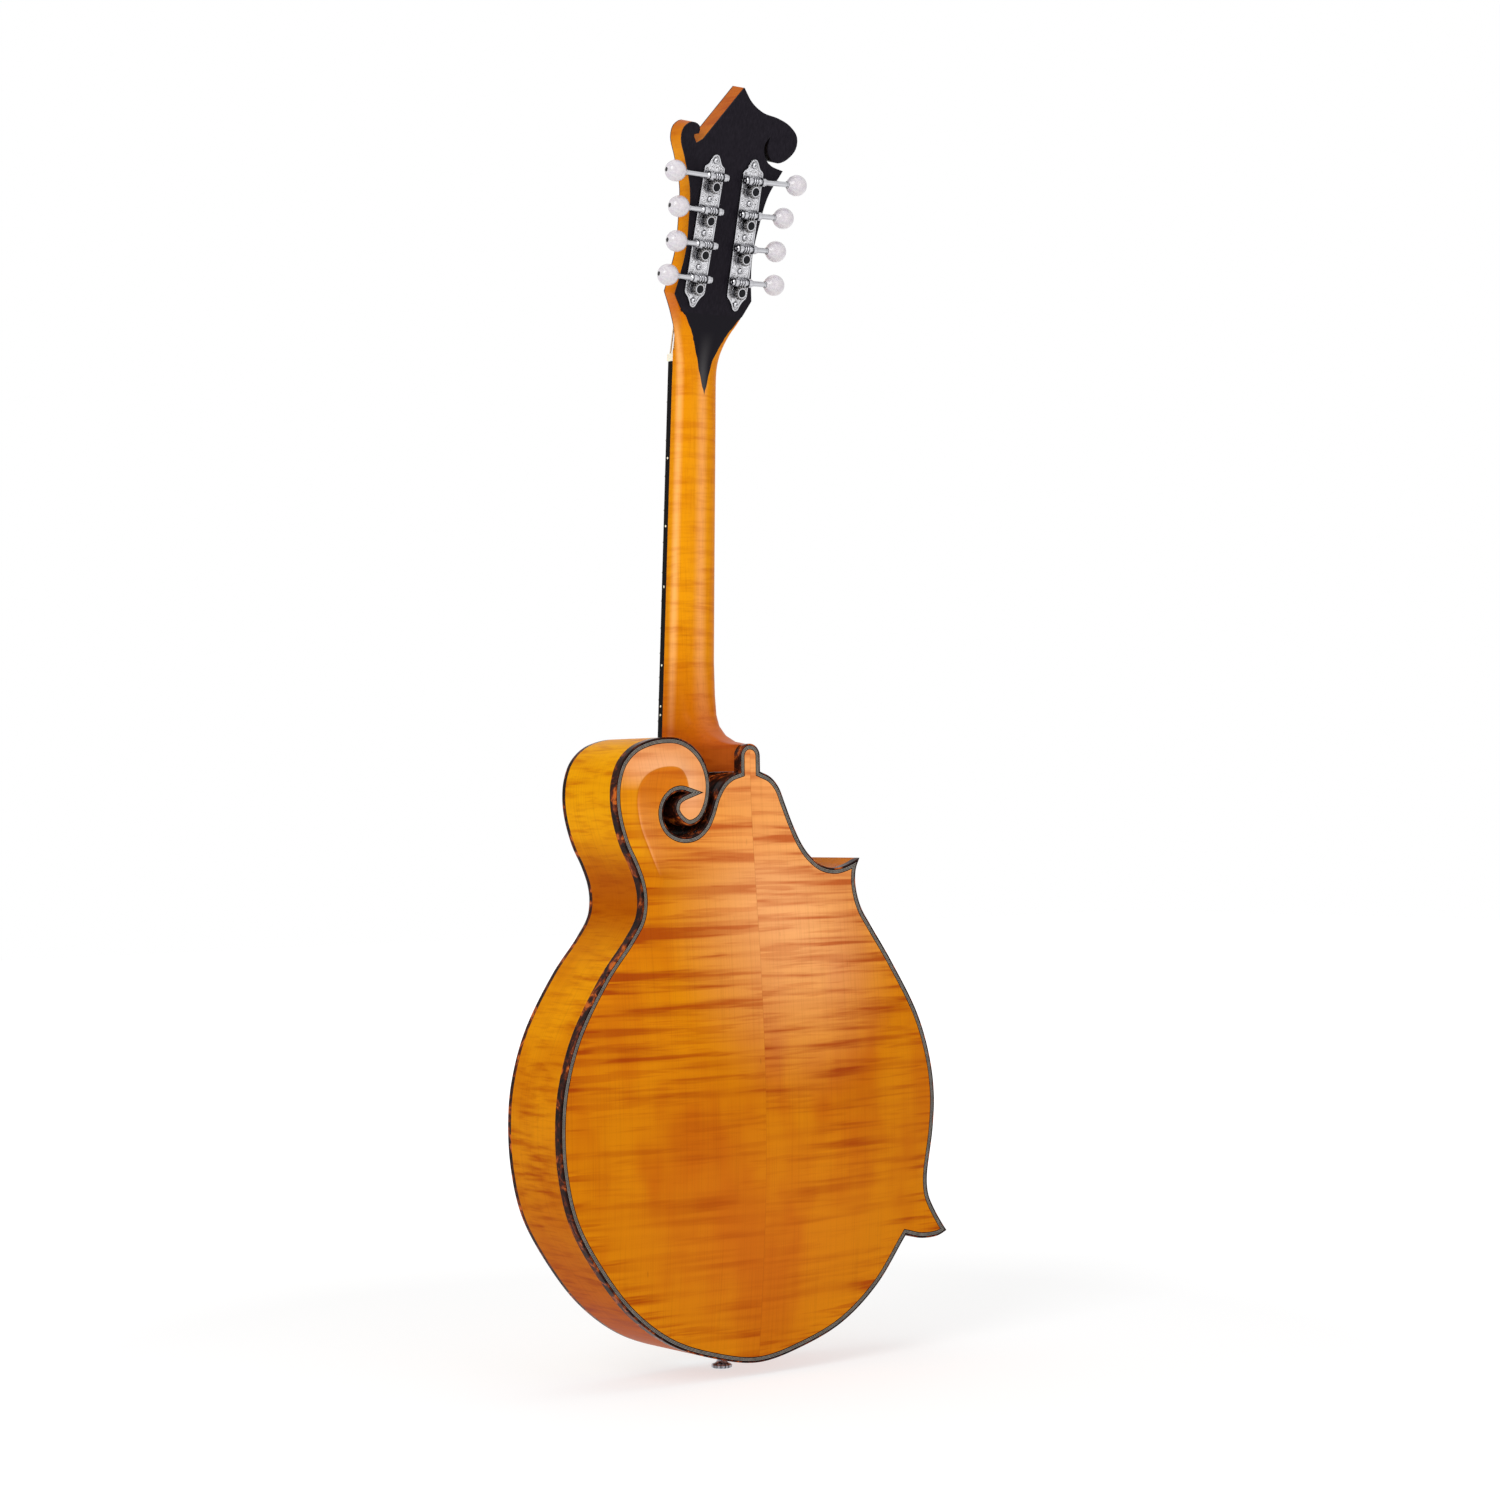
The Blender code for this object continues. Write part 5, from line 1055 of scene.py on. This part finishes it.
def neck_section(z, depth, taper, squareness):
    half = board_half_width(NUT.z - z)
    return [(half * across * (1 - taper * down), board_back_y(z) + depth * down, z)
            for across, down in half_oval(squareness)]


def throat_sections():
    """Slices from the flat headstock down to the neck's round back."""
    scroll_edge = sorted((p.y, p.x) for p in smooth_run(HEAD_SCROLL_EDGE, 2.0))
    point_edge = sorted((p.y, -p.x) for p in smooth_run(HEAD_POINT_EDGE, 2.0))
    front = HEAD_FRONT - FRONT_VENEER
    tables = (scroll_edge, point_edge, THROAT_SQUARENESS, THROAT_BACK)
    for along in np.arange(HEAD_FOOT, THROAT_END, -2.5):
        scroll_half, point_half, squareness, back = (np.interp(along, *zip(*table)) for table in tables)
        section = []
        for across, down in half_oval(squareness):
            half = scroll_half if across > 0 else point_half
            section.append(HEAD @ Vector((across * half, along, front - (front - back) * down)))
        yield section


def eased(above, below, between=3, rounds=12):
    """Join two stacks of slices, rounding off the bend and the change of shape where they meet."""
    first, last = np.array(above), np.array(below)
    steps = [first[-1] + (last[0] - first[-1]) * k / between for k in range(1, between)]
    stack = np.concatenate([first, np.array(steps), last])
    heights = stack[:, :, 2].mean(axis=1)
    low, high = EASING_HEIGHTS
    soft = (smoothstep((heights - low) / 12.0) * smoothstep((high - heights) / 10.0))[1:-1, None, None]
    for _ in range(rounds):
        middle = (stack[:-2] + 2.0 * stack[1:-1] + stack[2:]) / 4.0
        stack[1:-1] += soft * (middle - stack[1:-1])
    return [[tuple(point) for point in section] for section in stack]


def make_neck():
    """The shaft and heel in one smooth skin, then the nut's ledge, the board's tongue and the headstock."""
    heel_base = AXIS_TO_BACK - BACK_EDGE
    joint = NECK_JOINT + GAP
    stations = NECK_STATIONS + [(424.3, heel_base - board_back_y(424.0), 0.60, 4.5),
                                (joint, heel_base - board_back_y(joint), 0.60, 4.5)]
    shapes = []
    for a, b in zip(stations, stations[1:]):
        pieces = max(1, round(abs(a[0] - b[0]) / 3.0))
        shapes += [tuple(p + (q - p) * k / pieces for p, q in zip(a, b)) for k in range(pieces)]
    shapes.append(stations[-1])
    bm = bmesh.new()
    slices = eased(list(throat_sections()), [neck_section(*shape) for shape in shapes])
    loft(bm, [ring(bm, section) for section in slices])
    maple = neck_maple()
    make_object("neck_shaft", bm, maple, "neck", "maple", sharp_angle=60.0)
    edge, rise, drop = NUT_WIDTH / 2 - 0.1, 8.3, -5.0
    corners = [(edge, drop), (edge, rise), (-edge, rise), (-edge, drop)]
    ledge = prism([corners], -BOARD_THICKNESS - 4.5, -BOARD_THICKNESS)
    make_object("nut_ledge", moved(ledge, NECK), maple, "neck", "maple")

    underside, draft = AXIS_TO_BACK - RIM_DEPTH - 7.5, 3.0
    bm = bmesh.new()
    tongue = []
    for z in (NECK_JOINT + 1.0, BOARD_END + 5.0):
        half, face = board_half_width(NUT.z - z), board_back_y(z)
        tongue.append(ring(bm, [(half, face, z), (-half, face, z), (draft - half, underside, z),
                                (half - draft, underside, z)]))
    make_object("board_tongue", loft(bm, tongue), maple, "neck", "maple")

    veneer = HEAD_FRONT - FRONT_VENEER
    black = dark_wood("black_veneer", srgb(25, 22, 28), 0.42)
    under = HEAD_BACK + OVERLAY
    slabs = [
        ("head_core", HEAD_FOOT, (-26.0, 26.1), under, veneer, maple, "neck", "maple"),
        ("head_back_skin", HEAD_SKIN_FOOT, (-25.6, 24.2), HEAD_BACK, under, black, "head_back_overlay",
         "black_veneer"),
        ("head_front_skin", HEADPLATE_FOOT, (), veneer, HEAD_FRONT, black, "headplate", "black_veneer")]
    bores = [circle(POST_RADIUS + 0.5, 20, 0.1, place) for _, _, _, place in post_places()]
    for name, foot, corners, low, high, finish, node, slot in slabs:
        outline = [p for p in head_outline() if p.y > foot] + [Vector((x, HEAD_FOOT)) for x in corners]
        made = make_object(name, moved(prism([outline] + bores, low, high), HEAD), finish, node, slot)
        if node == "headplate":
            rounded(made, 0.3)


def head_outline():
    points = []
    for run in (HEAD_SCROLL_EDGE, HEAD_SCROLL_SIDE, HEAD_DIAGONAL, HEAD_CURL, HEAD_SLOT, HEAD_POINT_SIDE,
                HEAD_POINT_EDGE):
        sampled = [Vector(p) for p in run] if run is HEAD_DIAGONAL else smooth_run(run, 2.5)
        points += sampled[:-1]
    return points + [Vector(HEAD_POINT_EDGE[-1])]


def post_places():
    for side, name in ((1, "scroll"), (-1, "point")):
        for k in range(POSTS_PER_SIDE):
            down = POST_SPACING * k
            yield side, name, k, (side * (ROW_TOP + down * math.tan(ROW_SPREAD)), -down)


def make_fingerboard():
    """The board, its nickel frets, and the dots along its edge on the scroll's side."""
    length = (NUT.z - BOARD_END) / math.cos(NECK_PITCH)
    near, far = board_half_width(0.0), board_half_width(length)
    board = prism([[(near, 0.0), (-near, 0.0), (-far, -length), (far, -length)]], -BOARD_THICKNESS, 0.0)
    ebony = dark_wood("board_ebony", srgb(12, 10, 10), 0.42)
    rounded(make_object("board_wood", moved(board, NECK), ebony, "fingerboard", "ebony"), 0.3)
    wires = bmesh.new()
    foot, half_foot = -0.2, 0.9
    arch = [(half_foot * (2 * t - 1), math.sin(math.pi * t) ** 0.8 if 0 < t < 1 else foot)
            for t in np.linspace(0.0, 1.0, 9)]
    for fret in range(1, FRETS + 1):
        place = SCALE * (1 - 2 ** (-fret / 12))
        half = board_half_width(place) - 0.4
        loft(wires, [ring(wires, [(x, -place + u, v) for u, v in arch]) for x in (-half, half)])
    wire = metal("fret_metal", srgb(190, 188, 182), 0.2).material
    make_object("fret_wires", moved(wires, NECK), wire, "fingerboard", "ebony")
    dots = bmesh.new()
    for fret, offset in SIDE_DOTS:
        place = SCALE * (1 - 0.5 * (2 ** (-fret / 12) + 2 ** (-(fret - 1) / 12)))
        half = board_half_width(place)
        disc = lathe([(half - 0.8, 0.0), (half - 0.8, 0.8), (half + 0.06, 0.8), (half + 0.08, 0.0)], 12)
        merge(dots, moved(disc, Matrix.Translation((0.0, -place + offset, -BOARD_THICKNESS / 2))))
    make_object("side_dots", moved(dots, NECK), bone(), "fingerboard", "ebony")
    repaint("nut", bone())
    repaint("neck_bar", metal("bar_metal", srgb(190, 190, 192), 0.35).material)


def merge(bm, other):
    scratch = bpy.data.meshes.new("scratch")
    other.to_mesh(scratch)
    other.free()
    bm.from_mesh(scratch)
    bpy.data.meshes.remove(scratch)


# Tuners

def post_matrix(place, side):
    spin = Matrix.Rotation(side * ROW_SPREAD, 4, "Z")
    return HEAD @ Matrix.Translation((*place, 0.0)) @ spin


def worm_shaft(reach, sides=28):
    """The shaft turned about x, with its screw thread as a single helical ridge, and turned collars."""
    steps = sides * WORM_TURNS
    half = WORM_LEAD * WORM_TURNS / 2
    bm = bmesh.new()

    def collar(x, radius):
        return ring(bm, [(x, y, z) for y, z in circle(radius, sides, math.pi)])

    def turned(profile, before):
        for x, radius in profile:
            after = collar(x, radius)
            skin(bm, before, after)
            before = after
        bm.faces.new(before)

    profile = ((-0.50, WORM_ROOT), (-0.30, WORM_RADIUS - 0.12), (-0.18, WORM_RADIUS), (0.18, WORM_RADIUS),
               (0.30, WORM_RADIUS - 0.12), (0.50, WORM_ROOT))
    last = len(profile) - 1
    ridge = []
    for k in range(steps + 1):
        angle = math.pi + 2 * math.pi * k / sides
        x = WORM_LEAD * k / sides - half
        ridge.append(ring(bm, [(x + shift, radius * math.cos(angle), radius * math.sin(angle))
                               for shift, radius in profile]))
    low, high = collar(-half - 0.7, WORM_ROOT), collar(half + 0.7, WORM_ROOT)
    faces = [(ridge[k][edge], ridge[k + 1][edge], ridge[k + 1][edge + 1], ridge[k][edge + 1])
             for k in range(steps) for edge in range(last)]
    faces += [(ridge[k][last], ridge[k + 1][last], ridge[k + sides + 1][0], ridge[k + sides][0])
              for k in range(steps - sides)]
    for k in range(sides - 1):
        top = steps - sides + k
        faces += [(low[k], low[k + 1], ridge[k + 1][0], ridge[k][0]),
                  (ridge[top][last], ridge[top + 1][last], high[k + 1], high[k])]
    faces += [(low[sides - 1], low[0], ridge[0][0], ridge[0][last], ridge[sides][0], ridge[sides - 1][0]),
              (ridge[steps - 1][last], ridge[steps][last], high[0], high[sides - 1]),
              (ridge[steps - sides][last], ridge[steps][0], ridge[steps][last], high[0]),
              ridge[0], ridge[steps]]
    for face in faces:
        bm.faces.new(face)
    start, neck, cap = LUG_OUTER + 0.3, WORM_ROOT - 0.1, CAP_RADIUS
    shaft, bead = SHAFT_RADIUS, SHAFT_RADIUS + 0.35
    turned([(-start, neck), (-start, cap - 0.3), (-start - 0.2, cap), (-8.6, cap), (-8.9, cap - 0.3),
            (-8.9, 0.9), (-8.5, 0.6)], low)
    turned([(start, neck), (start, cap - 0.2), (start + 0.2, cap), (start + 1.1, cap - 0.1),
            (start + 1.5, shaft), (reach - 8.9, shaft), (reach - 8.7, bead), (reach - 7.9, bead),
            (reach - 7.7, shaft), (reach + 1.0, shaft)], high)
    return bm


def string_post():
    """A post turned about z with its worm wheel: dull teeth, a bright lip and a black screw inside."""
    bm = bmesh.new()
    worm_middle, pitch = (WORM_RADIUS + WORM_ROOT) / 2, 2 * math.pi / GEAR_TEETH
    slant = GEAR_THICKNESS * WORM_LEAD / (2 * math.pi * worm_middle) / GEAR_PITCH_RADIUS
    shoulder = GEAR_RADIUS - 0.35
    tooth_shape = ((-0.26, GEAR_ROOT), (-0.17, shoulder), (-0.11, GEAR_RADIUS), (0.11, GEAR_RADIUS),
                   (0.17, shoulder), (0.26, GEAR_ROOT))
    low, high = WORM_DEPTH - GEAR_THICKNESS / 2, WORM_DEPTH + GEAR_THICKNESS / 2

    def teeth(depth, turn):
        places = [(math.pi / 2 + pitch * (tooth + share) + turn, radius)
                  for tooth in range(GEAR_TEETH) for share, radius in tooth_shape]
        return ring(bm, [(r * math.cos(a), r * math.sin(a), depth) for a, r in places])

    def discs(*sizes):
        return [ring(bm, [(x, y, depth) for x, y in circle(radius, 28, 0.05)]) for depth, radius in sizes]

    bright, dark, dull = range(3)
    lower, upper = teeth(low, slant / 2), teeth(high, -slant / 2)
    skin(bm, lower, upper, dull)
    shaft = discs((high, POST_RADIUS), (25.5, POST_RADIUS), (26.0, POST_WAIST + 0.3), (27.0, POST_WAIST),
                  (32.8, POST_WAIST), (33.8, POST_WAIST + 0.3), (POST_END - 0.6, POST_RADIUS),
                  (POST_END, POST_RADIUS - 0.7))
    fill(bm, upper, shaft[0], bright)
    loft(bm, shaft, bright, (-1,))
    lip = discs((low, 3.6), (low - 0.45, 3.5), (low - 0.6, 3.3), (low - 0.6, 2.9), (low - 0.45, 2.75))
    fill(bm, lower, lip[0], dull)
    loft(bm, lip, bright, ())
    screw_head = discs((low - 0.1, 2.7), (low - 0.1, 2.3), (low - 0.5, 2.2), (low - 0.6, 1.9))
    loft(bm, lip[-1:] + screw_head, dark, (-1,))
    return bm


def knob():
    """A pearl button turned about x, with a black inlay at its far pole and a dark mouth for the shaft."""
    length, radius = KNOB_HALF_LENGTH, KNOB_RADIUS
    bore = SHAFT_RADIUS + 0.15
    profile = [(-length + 1.5, 0.0), (-length + 1.5, bore), (-length + 0.2, bore), (-length, 2.6)]
    for angle in np.radians(np.linspace(-66.0, 80.0, 19)):
        profile.append((length * math.sin(angle), radius * math.cos(angle)))
    bm = lathe(profile + [(length, 1.15), (length - 0.35, 0.0)], 36, KNOB_FLATTENING)
    inlay = [(-0.3, 0.0), (-0.3, 1.5), (-0.02, 1.5), (0.12, 0.9), (0.15, 0.0)]
    return lathe([(length + x, r) for x, r in inlay], 20, KNOB_FLATTENING, bm, 1)


def plate_outline(shrink=0.0):
    w = PLATE_HALF_WIDTH - shrink
    tip = [(5.2, 0.8, 15.0), (3.3, 0.7, 18.6), (1.7, 0.4, 20.9), (0.0, 0.0, 21.4)]
    foot = [(0.0, 0.0, 82.2), (1.8, 0.4, 81.4), (3.2, 0.7, 78.6), (5.4, 0.8, 75.2)]
    upper = [(w, 10.0), (w - 0.3, 12.8)] + [(x - shrink * k, z - shrink) for x, k, z in tip]
    lower = [(x - shrink * k, shrink - z) for x, k, z in foot] + [(w - 0.4, -72.8), (w, -70.4)]
    right = smooth_run(lower, 1.2) + smooth_run(upper, 1.2)
    return right + [Vector((-p.x, p.y)) for p in reversed(right[1:-1])]


def lug(low, high):
    """A bright bearing for the worm shaft, standing on the strip."""
    width, foot, rise = 3.1, PLATE_FACE + 0.2, 3.1
    arch = [(width * math.cos(a), WORM_DEPTH - rise * math.sin(a)) for a in np.linspace(0.0, math.pi, 13)]
    bore = circle(WORM_ROOT + 0.3, 20, 0.1, (0.0, WORM_DEPTH))
    turn = Matrix(((0, 0, 1, 0), (1, 0, 0, WORM_RISE), (0, 1, 0, 0), (0, 0, 0, 1)))
    return moved(prism([[(width, foot)] + arch + [(-width, foot)], bore], low, high), turn)


def screw(along):
    """A domed cross-slotted screw head."""
    bm = bmesh.new()
    turns = [2 * math.pi * k / 32 for k in range(32)]
    cross = [1.0 if k % 8 else 0.45 for k in range(32)]
    levels = [(0.0, 2.1, False), (0.7, 2.0, False), (1.15, 1.35, False), (1.2, 0.9, True), (0.6, 0.6, True)]
    rings = []
    for rise, radius, slotted in levels:
        reach = [radius * (share if slotted else 1.0) for share in cross]
        rings.append(ring(bm, [(r * math.cos(a), along + r * math.sin(a), PLATE_FACE - rise)
                               for r, a in zip(reach, turns)]))
    return loft(bm, rings, ends=(-1,))


def tuner_strip(side, name, first_place, bright, engraved):
    """The engraved strip with a raised border, bearings, screws and a washer round each post."""
    stations = [-POST_SPACING * k / math.cos(ROW_SPREAD) for k in range(POSTS_PER_SIDE)]
    bores = [circle(POST_RADIUS + 0.6, 20, 0.1, (0.0, z)) for z in stations]
    fittings = bmesh.new()
    for z in stations:
        down = Matrix.Translation((0.0, z, 0.0))
        rings = [circle(4.9, 28), circle(POST_RADIUS + 0.5, 28)]
        for piece in (lug(LUG_INNER, LUG_OUTER), lug(-LUG_OUTER, -LUG_INNER),
                      prism(rings, PLATE_FACE - 0.3, PLATE_FACE + 0.3)):
            merge(fittings, moved(piece, down))
    for along in SCREW_PLACES:
        merge(fittings, screw(along))
    strip = prism([plate_outline()] + bores, PLATE_FACE + 0.2, PLATE_BACK)
    border = prism([plate_outline(), plate_outline(0.9)], PLATE_FACE - 0.1, PLATE_FACE + 0.3)
    node, place = "tuner_plate_" + name, post_matrix(first_place, side)
    pieces = (("strip_", strip, engraved, 0.15), ("strip_border_", border, bright, 0.12),
              ("strip_fittings_", fittings, bright, 0.2))
    for label, bm, finish, width in pieces:
        made = make_object(label + name, mirror_if(bm, side), finish, node, "tuner_plate_metal", place)
        rounded(made, width)


def make_tuners():
    bright = metal("bright_plate", srgb(190, 190, 194), 0.12).material
    dull = metal("wheel_teeth", srgb(132, 130, 130), 0.26).material
    dark = Finish("blackened_screw", srgb(20, 20, 24), 0.34, Specular_IOR_Level=0.1).material
    pearly, inlay = pearl(), Finish("black_inlay", srgb(20, 18, 20), 0.2).material
    engraved = engraved_metal()
    for side, name, k, place in post_places():
        label = "%s_%d" % (name, k + 1)
        base = post_matrix(place, side)
        axis = base @ Matrix.Translation((0.0, WORM_RISE, WORM_DEPTH))
        far = axis @ Matrix.Translation((side * KNOB_REACH[k], 0.0, 0.0))
        tuner, post = "tuner_" + label, "post_" + label
        pieces = (
            ("worm_", worm_shaft(KNOB_REACH[k]), bright, "worm_shaft_", "worm_metal", axis, tuner, 32.0),
            ("button_", knob(), [pearly, inlay], "knob_", "pearl", far, tuner, 60.0),
            ("post_and_wheel_", string_post(), [bright, dark, dull], "string_post_", "post_metal", base,
             post, 32.0))
        for piece, bm, finishes, node, slot, spot, rides, angle in pieces:
            make_object(piece + label, mirror_if(bm, side), finishes, node + label, slot, spot, rides, angle)
    for side, name, k, place in post_places():
        if k == 0:
            tuner_strip(side, name, place, bright, engraved)


# Strings and fittings

def string_spread(pair_gap, course_gap):
    places = []
    for course in range(4):
        centre = course_gap * (1.5 - course)
        places += [centre + pair_gap / 2, centre - pair_gap / 2]
    return places


NUT_SPREAD = string_spread(2.3, 8.2)
BRIDGE_SPREAD = string_spread(2.9, 11.4)


def string_paths(number):
    """The two stretches of one string: tailpiece to saddle, and saddle to its post."""
    course = number // 2
    radius = STRING_RADII[course]
    hook = BODY @ Vector((BRIDGE_SPREAD[number] * HOOK_SPREAD, STRING_END_HEIGHT, STRING_END_DEPTH))
    saddle = BODY @ Vector((BRIDGE_SPREAD[number], BRIDGE_Z, STRING_DEPTH_AT_BRIDGE))
    nut = NECK @ Vector((NUT_SPREAD[number], 5.4, 1.2 + 1.6 * radius))
    side = 1 if course < 2 else -1
    near = number % 2 == (0 if side > 0 else 1)
    row = (3 if near else 2) if course in (0, 3) else (1 if near else 0)
    down = POST_SPACING * row
    centre = Vector((side * (ROW_TOP + down * math.tan(ROW_SPREAD)), -down))
    pieces = 24
    around = POST_WAIST + 0.35 + radius
    inner = math.pi if side > 0 else 0.0
    upper = [saddle.lerp(nut, k / 12) for k in range(13)]
    for k in range(int(TURNS_ON_POST * pieces) + 1):
        angle = inner - side * (2 * math.pi * k / pieces)
        place = centre + around * Vector((math.cos(angle), math.sin(angle)))
        depth = TURNS_DEPTH - (2.2 * radius + 0.2) * k / pieces
        upper.append(HEAD @ Vector((place.x, place.y, depth)))
    return [hook.lerp(saddle, k / 6) for k in range(7)], upper


def make_strings():
    plain = metal("plain_wire", srgb(214, 214, 216), 0.16).material
    wound = {radius: wound_metal(radius) for radius in STRING_RADII[:2]}
    end = Vector((0.0, 0.0, BRIDGE_Z * MM))
    for number in range(8):
        radius = STRING_RADII[number // 2]
        node = "string_%d" % (number + 1)
        slot = "wound_string" if number < 4 else "plain_string"
        for part, path, away in zip(("tail", "neck"), string_paths(number), (STRING_END_HEIGHT, NUT.z)):
            piece = make_object(node + "_" + part, tube(path, radius), wound.get(radius, plain), node, slot,
                                rides=None, sharp_angle=80.0)
            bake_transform(piece, "body", "saddle_body", start=Vector((0.0, 0.0, away * MM)), end=end)


def make_tail_sheet(finish):
    """The tailpiece: a bent sheet whose foot follows the tail's curve, with a hook for each string."""
    half, sheet = 16.0, 0.9
    curve = sorted((p.x, p.y) for p in body_runs()[1] if abs(p.x) < 30.0 and p.y < 30.0)
    bm = bmesh.new()
    rings = []
    for x in np.linspace(-half, half, 17):
        tail = float(np.interp(x, *zip(*curve)))
        path = [Vector((depth, BODY_BOTTOM - GAP + rise + (tail - BODY_BOTTOM) * share))
                for depth, rise, share in TAIL_BENDS]
        rings.append(ring(bm, [(x, p.y, p.x) for p in path + offset_run(path, sheet)[::-1]]))
    loft(bm, rings)
    low, high = HOOK_HEIGHTS
    for place in BRIDGE_SPREAD:
        left, right = place * HOOK_SPREAD - 0.7, place * HOOK_SPREAD + 0.7
        prism([[(left, low), (right, low), (right, high), (left, high)]], *HOOK_DEPTHS, bm)
    rounded(make_object("bent_tail_sheet", moved(bm, BODY), finish, "tailpiece", "tailpiece_metal"), 0.25)


def make_fittings():
    ebony = dark_wood("bridge_ebony", srgb(28, 24, 22), 0.34, 0.15)
    brass = metal("wheel_brass_metal", srgb(214, 176, 96), 0.2).material
    for name, finish in (("bridge_base", ebony), ("saddle", ebony), ("thumbwheel_scroll", brass),
                         ("thumbwheel_point", brass)):
        repaint(name, finish)
    make_tail_sheet(metal("tail_polish", srgb(226, 226, 228), 0.14).material)
    upright = Matrix(((0, 0, 1, 0), (0, 1, 0, 0), (1, 0, 0, 0), (0, 0, 0, 1)))
    button = moved(lathe(BUTTON_PROFILE, 48), upright)
    make_object("turned_strap_button", button, button_metal(), "strap_button", "button_metal")


# Stage

def make_stage():
    """A white floor that glows, less near the middle so that it keeps the shadow, and a white surround that
    is dimmer where it only lights.
    """
    floor = bmesh.new()
    bmesh.ops.create_grid(floor, x_segments=1, y_segments=1, size=6000.0)
    finish = Finish("floor_white", (0.42, 0.42, 0.42, 1.0), 1.0, Specular_IOR_Level=0.0,
                    Emission_Color=(1.0, 1.0, 1.0, 1.0))
    reach = finish.node("ShaderNodeVectorMath", {0: finish.place()}, "Value", operation="LENGTH")
    # The floor's own glow: 0.65 within 0.45 m of the middle, rising to full white by 1.5 m.
    finish.set("Emission Strength", reach.span(0.45, 1.5, 0.65, 1.0))
    make_object("floor", floor, finish.material, rides=None)
    world = bpy.data.worlds.new("studio")
    bpy.context.scene.world = world
    world.use_nodes = True
    nodes, links = world.node_tree.nodes, world.node_tree.links
    background = nodes["Background"]
    background.inputs["Color"].default_value = (1.0, 1.0, 1.0, 1.0)
    rays = nodes.new("ShaderNodeLightPath").outputs
    seen = rays["Is Camera Ray"]
    for ray in ("Is Glossy Ray", "Is Transmission Ray"):
        either = nodes.new("ShaderNodeMath")
        either.operation = "MAXIMUM"
        links.new(seen, either.inputs[0])
        links.new(rays[ray], either.inputs[1])
        seen = either.outputs[0]
    level = nodes.new("ShaderNodeMapRange")
    level.inputs["To Min"].default_value = 0.45
    level.inputs["To Max"].default_value = 1.0
    links.new(seen, level.inputs["Value"])
    links.new(level.outputs[0], background.inputs["Strength"])


def area_lamp(name, place, target, size, power):
    lamp = bpy.data.lights.new(name, "AREA")
    lamp.shape = "RECTANGLE"
    lamp.size, lamp.size_y = size
    lamp.energy = power
    item = bpy.data.objects.new(name, lamp)
    item.location = place
    item.rotation_euler = (target - place).to_track_quat("-Z", "Y").to_euler()
    bpy.context.scene.collection.objects.link(item)


def make_lights():
    azimuth = math.radians(CAMERA_AZIMUTH)
    towards = Vector((math.sin(azimuth), -math.cos(azimuth), 0.0))
    left = Vector((-math.cos(azimuth), -math.sin(azimuth), 0.0))
    middle, up = Vector((0.0, 0.0, 0.42)), Vector((0.0, 0.0, 1.0))
    area_lamp("key", middle + left * 1.0 + towards * 2.0 + up * 1.3, middle, (1.0, 1.4), 25.0)
    area_lamp("fill", middle - left * 1.6 + towards * 1.8 + up * 0.6, middle, (1.6, 1.6), 12.0)
    area_lamp("top", middle + up * 2.2, middle, (2.4, 2.4), 16.0)


def make_camera():
    azimuth, elevation, roll = (math.radians(v) for v in (CAMERA_AZIMUTH, CAMERA_ELEVATION, CAMERA_ROLL))
    data = bpy.data.cameras.new("camera")
    data.sensor_width = SENSOR
    data.lens = SENSOR * FOCAL_PIXELS / PHOTO_PIXELS
    data.clip_end = 50.0
    item = bpy.data.objects.new("camera", data)
    aim = Matrix.Rotation(azimuth, 4, "Z") @ Matrix.Rotation(math.pi / 2 - elevation, 4, "X")
    aim = aim @ Matrix.Rotation(roll, 4, "Z") @ Matrix.Translation((0.0, 0.0, CAMERA_DISTANCE))
    item.matrix_world = Matrix.Translation(CAMERA_TARGET) @ aim
    bpy.context.scene.collection.objects.link(item)
    bpy.context.scene.camera = item


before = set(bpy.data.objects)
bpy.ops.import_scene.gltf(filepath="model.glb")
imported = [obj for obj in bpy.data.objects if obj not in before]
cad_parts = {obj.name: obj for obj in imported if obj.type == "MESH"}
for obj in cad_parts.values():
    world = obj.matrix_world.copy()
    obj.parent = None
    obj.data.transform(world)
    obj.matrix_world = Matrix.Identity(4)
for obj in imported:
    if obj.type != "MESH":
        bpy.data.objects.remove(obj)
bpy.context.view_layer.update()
make_camera()
make_stage()
make_lights()
make_body()
make_neck()
make_fingerboard()
make_tuners()
make_strings()
make_fittings()
bpy.context.scene.view_settings.view_transform = "Standard"
